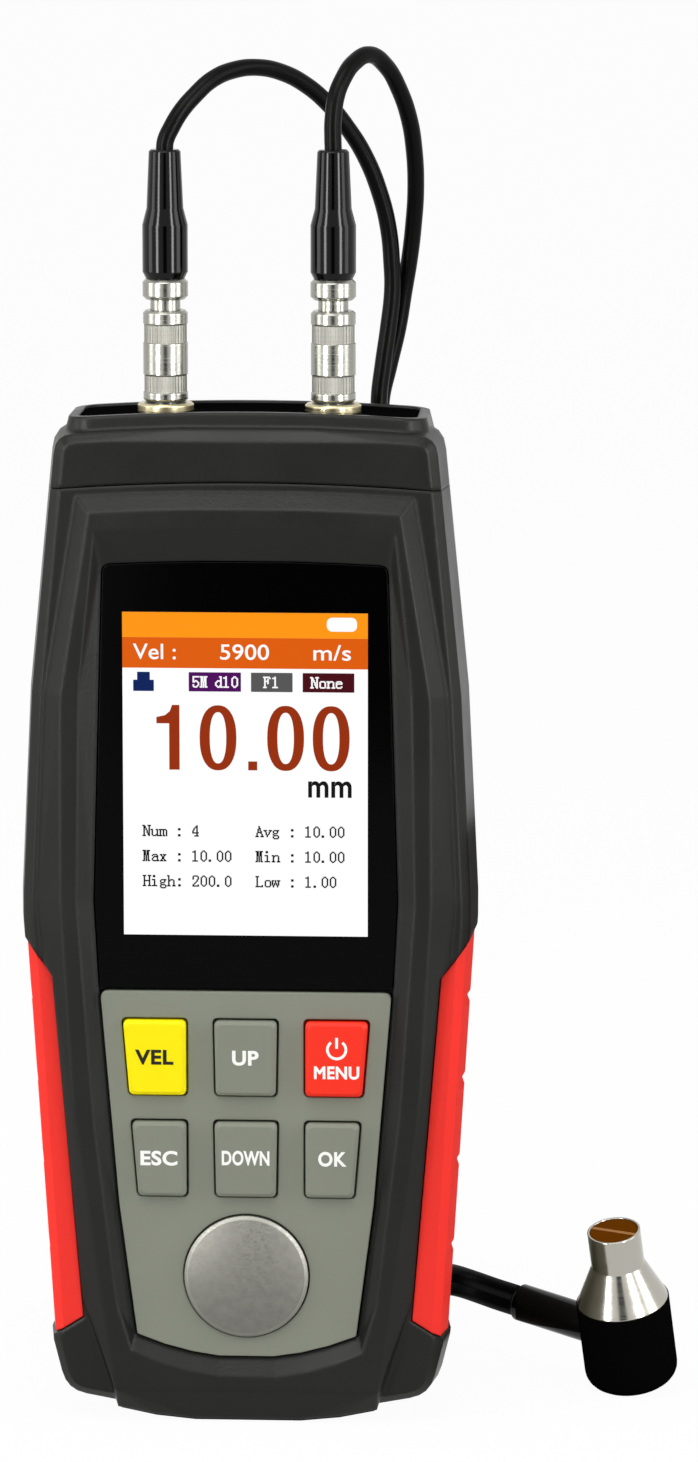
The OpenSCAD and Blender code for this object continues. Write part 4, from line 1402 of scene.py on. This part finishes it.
def painted_reflection_card(name, at, turn, size, shown):
    """A card that only gloss and metal show: a painted reflection, unseen by the camera and casting
    no light or shadow.
    """
    bm = bmesh.new()
    bmesh.ops.create_grid(bm, x_segments=1, y_segments=1, size=0.5)
    place = (
        Matrix.Translation(at)
        @ Matrix.Rotation(math.radians(turn), 4, "Z")
        @ Matrix.Rotation(math.radians(90), 4, "X")
        @ Matrix.Diagonal((*size, 1, 1))
    )
    bmesh.ops.transform(bm, matrix=place, verts=bm.verts)
    colour = (*screen_colour(*shown), 1)
    card = linked(name, bm, [new_finish(name, {"Base Color": colour})[0]])
    for ray in ("camera", "diffuse", "transmission", "volume_scatter", "shadow"):
        setattr(card, f"visible_{ray}", False)
    card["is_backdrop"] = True


class GAUGE_OT_stage(bpy.types.Operator):
    """Set the floor, the lamps and the camera"""

    bl_idname = "gauge.stage"
    bl_label = "Stage"

    def execute(self, context):
        scene = context.scene
        stage = scene.gauge_stage
        scene.view_settings.view_transform = "Standard"
        make_sky(stage.sky)

        bm = bmesh.new()
        bmesh.ops.create_grid(bm, x_segments=1, y_segments=1, size=FLOOR_HALF)
        linked("floor", bm, [floor_finish()])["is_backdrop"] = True

        # Painted reflections, which only gloss and metal show
        for name, placed in PAINTED_REFLECTIONS.items():
            painted_reflection_card(name, *placed)
        for name, (at, faces, size, power) in LAMPS.items():
            lamp = bpy.data.lights.new(name, "AREA")
            lamp.shape = "RECTANGLE"
            lamp.size, lamp.size_y = size
            lamp.energy = getattr(stage, power)
            holder = bpy.data.objects.new(name, lamp)
            holder.location = at
            way = Vector((0, 0, faces)) - Vector(at)
            holder.rotation_euler = way.to_track_quat("-Z", "Y").to_euler()
            holder.visible_camera = False
            holder.visible_diffuse = power != "strip_light"
            scene.collection.objects.link(holder)

        aim = Vector(stage.aim)
        data = bpy.data.cameras.new("camera")
        data.lens = data.sensor_width * stage.distance / stage.frame_h
        camera = bpy.data.objects.new("camera", data)
        turn = Euler((-stage.elevation, 0, stage.azimuth)).to_matrix()
        back = turn @ Vector((0, -1, 0))
        camera.location = aim + back * stage.distance
        camera.rotation_euler = (-back).to_track_quat("-Z", "Y").to_euler()
        scene.collection.objects.link(camera)
        scene.camera = camera
        return {"FINISHED"}


STEPS = (
    GAUGE_OT_housing,
    GAUGE_OT_screen,
    GAUGE_OT_keypad,
    GAUGE_OT_test_disc,
    GAUGE_OT_plugs,
    GAUGE_OT_leads,
    GAUGE_OT_probe,
    GAUGE_OT_insides,
    GAUGE_OT_stage,
)
SETTINGS = {
    "gauge_colours": GaugeColours,
    "gauge_sizes": GaugeSizes,
    "gauge_stage": GaugeStage,
}


class GAUGE_PT_panel(bpy.types.Panel):
    """The gauge's settings and steps"""

    bl_idname = "GAUGE_PT_panel"
    bl_label = "Thickness Gauge"
    bl_space_type = "VIEW_3D"
    bl_region_type = "UI"
    bl_category = "Gauge"

    def draw(self, context):
        layout = self.layout
        for step in STEPS:
            layout.operator(step.bl_idname)
        for name, kind in SETTINGS.items():
            box = layout.box()
            for setting in kind.__annotations__:
                box.prop(getattr(context.scene, name), setting)


CLASSES = (*SETTINGS.values(), *STEPS, GAUGE_PT_panel)


def register():
    """Registers the classes and hangs the settings on the scene."""
    for kind in CLASSES:
        bpy.utils.register_class(kind)
    for name, kind in SETTINGS.items():
        setattr(bpy.types.Scene, name, bpy.props.PointerProperty(type=kind))


def unregister():
    """Takes the settings and the classes away again."""
    for name in SETTINGS:
        delattr(bpy.types.Scene, name)
    for kind in reversed(CLASSES):
        bpy.utils.unregister_class(kind)


def main():
    """Builds everything in order."""
    register()
    bpy.ops.gauge.housing()
    bpy.ops.gauge.screen()
    bpy.ops.gauge.keypad()
    bpy.ops.gauge.test_disc()
    bpy.ops.gauge.plugs()
    bpy.ops.gauge.leads()
    bpy.ops.gauge.probe()
    bpy.ops.gauge.insides()
    bpy.ops.gauge.stage()
    boxes = {"cad": CAD_BOX, "visual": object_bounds()}
    {k: [list(corner) for corner in box] for k, box in boxes.items()}


if __name__ == "__main__":
    main()
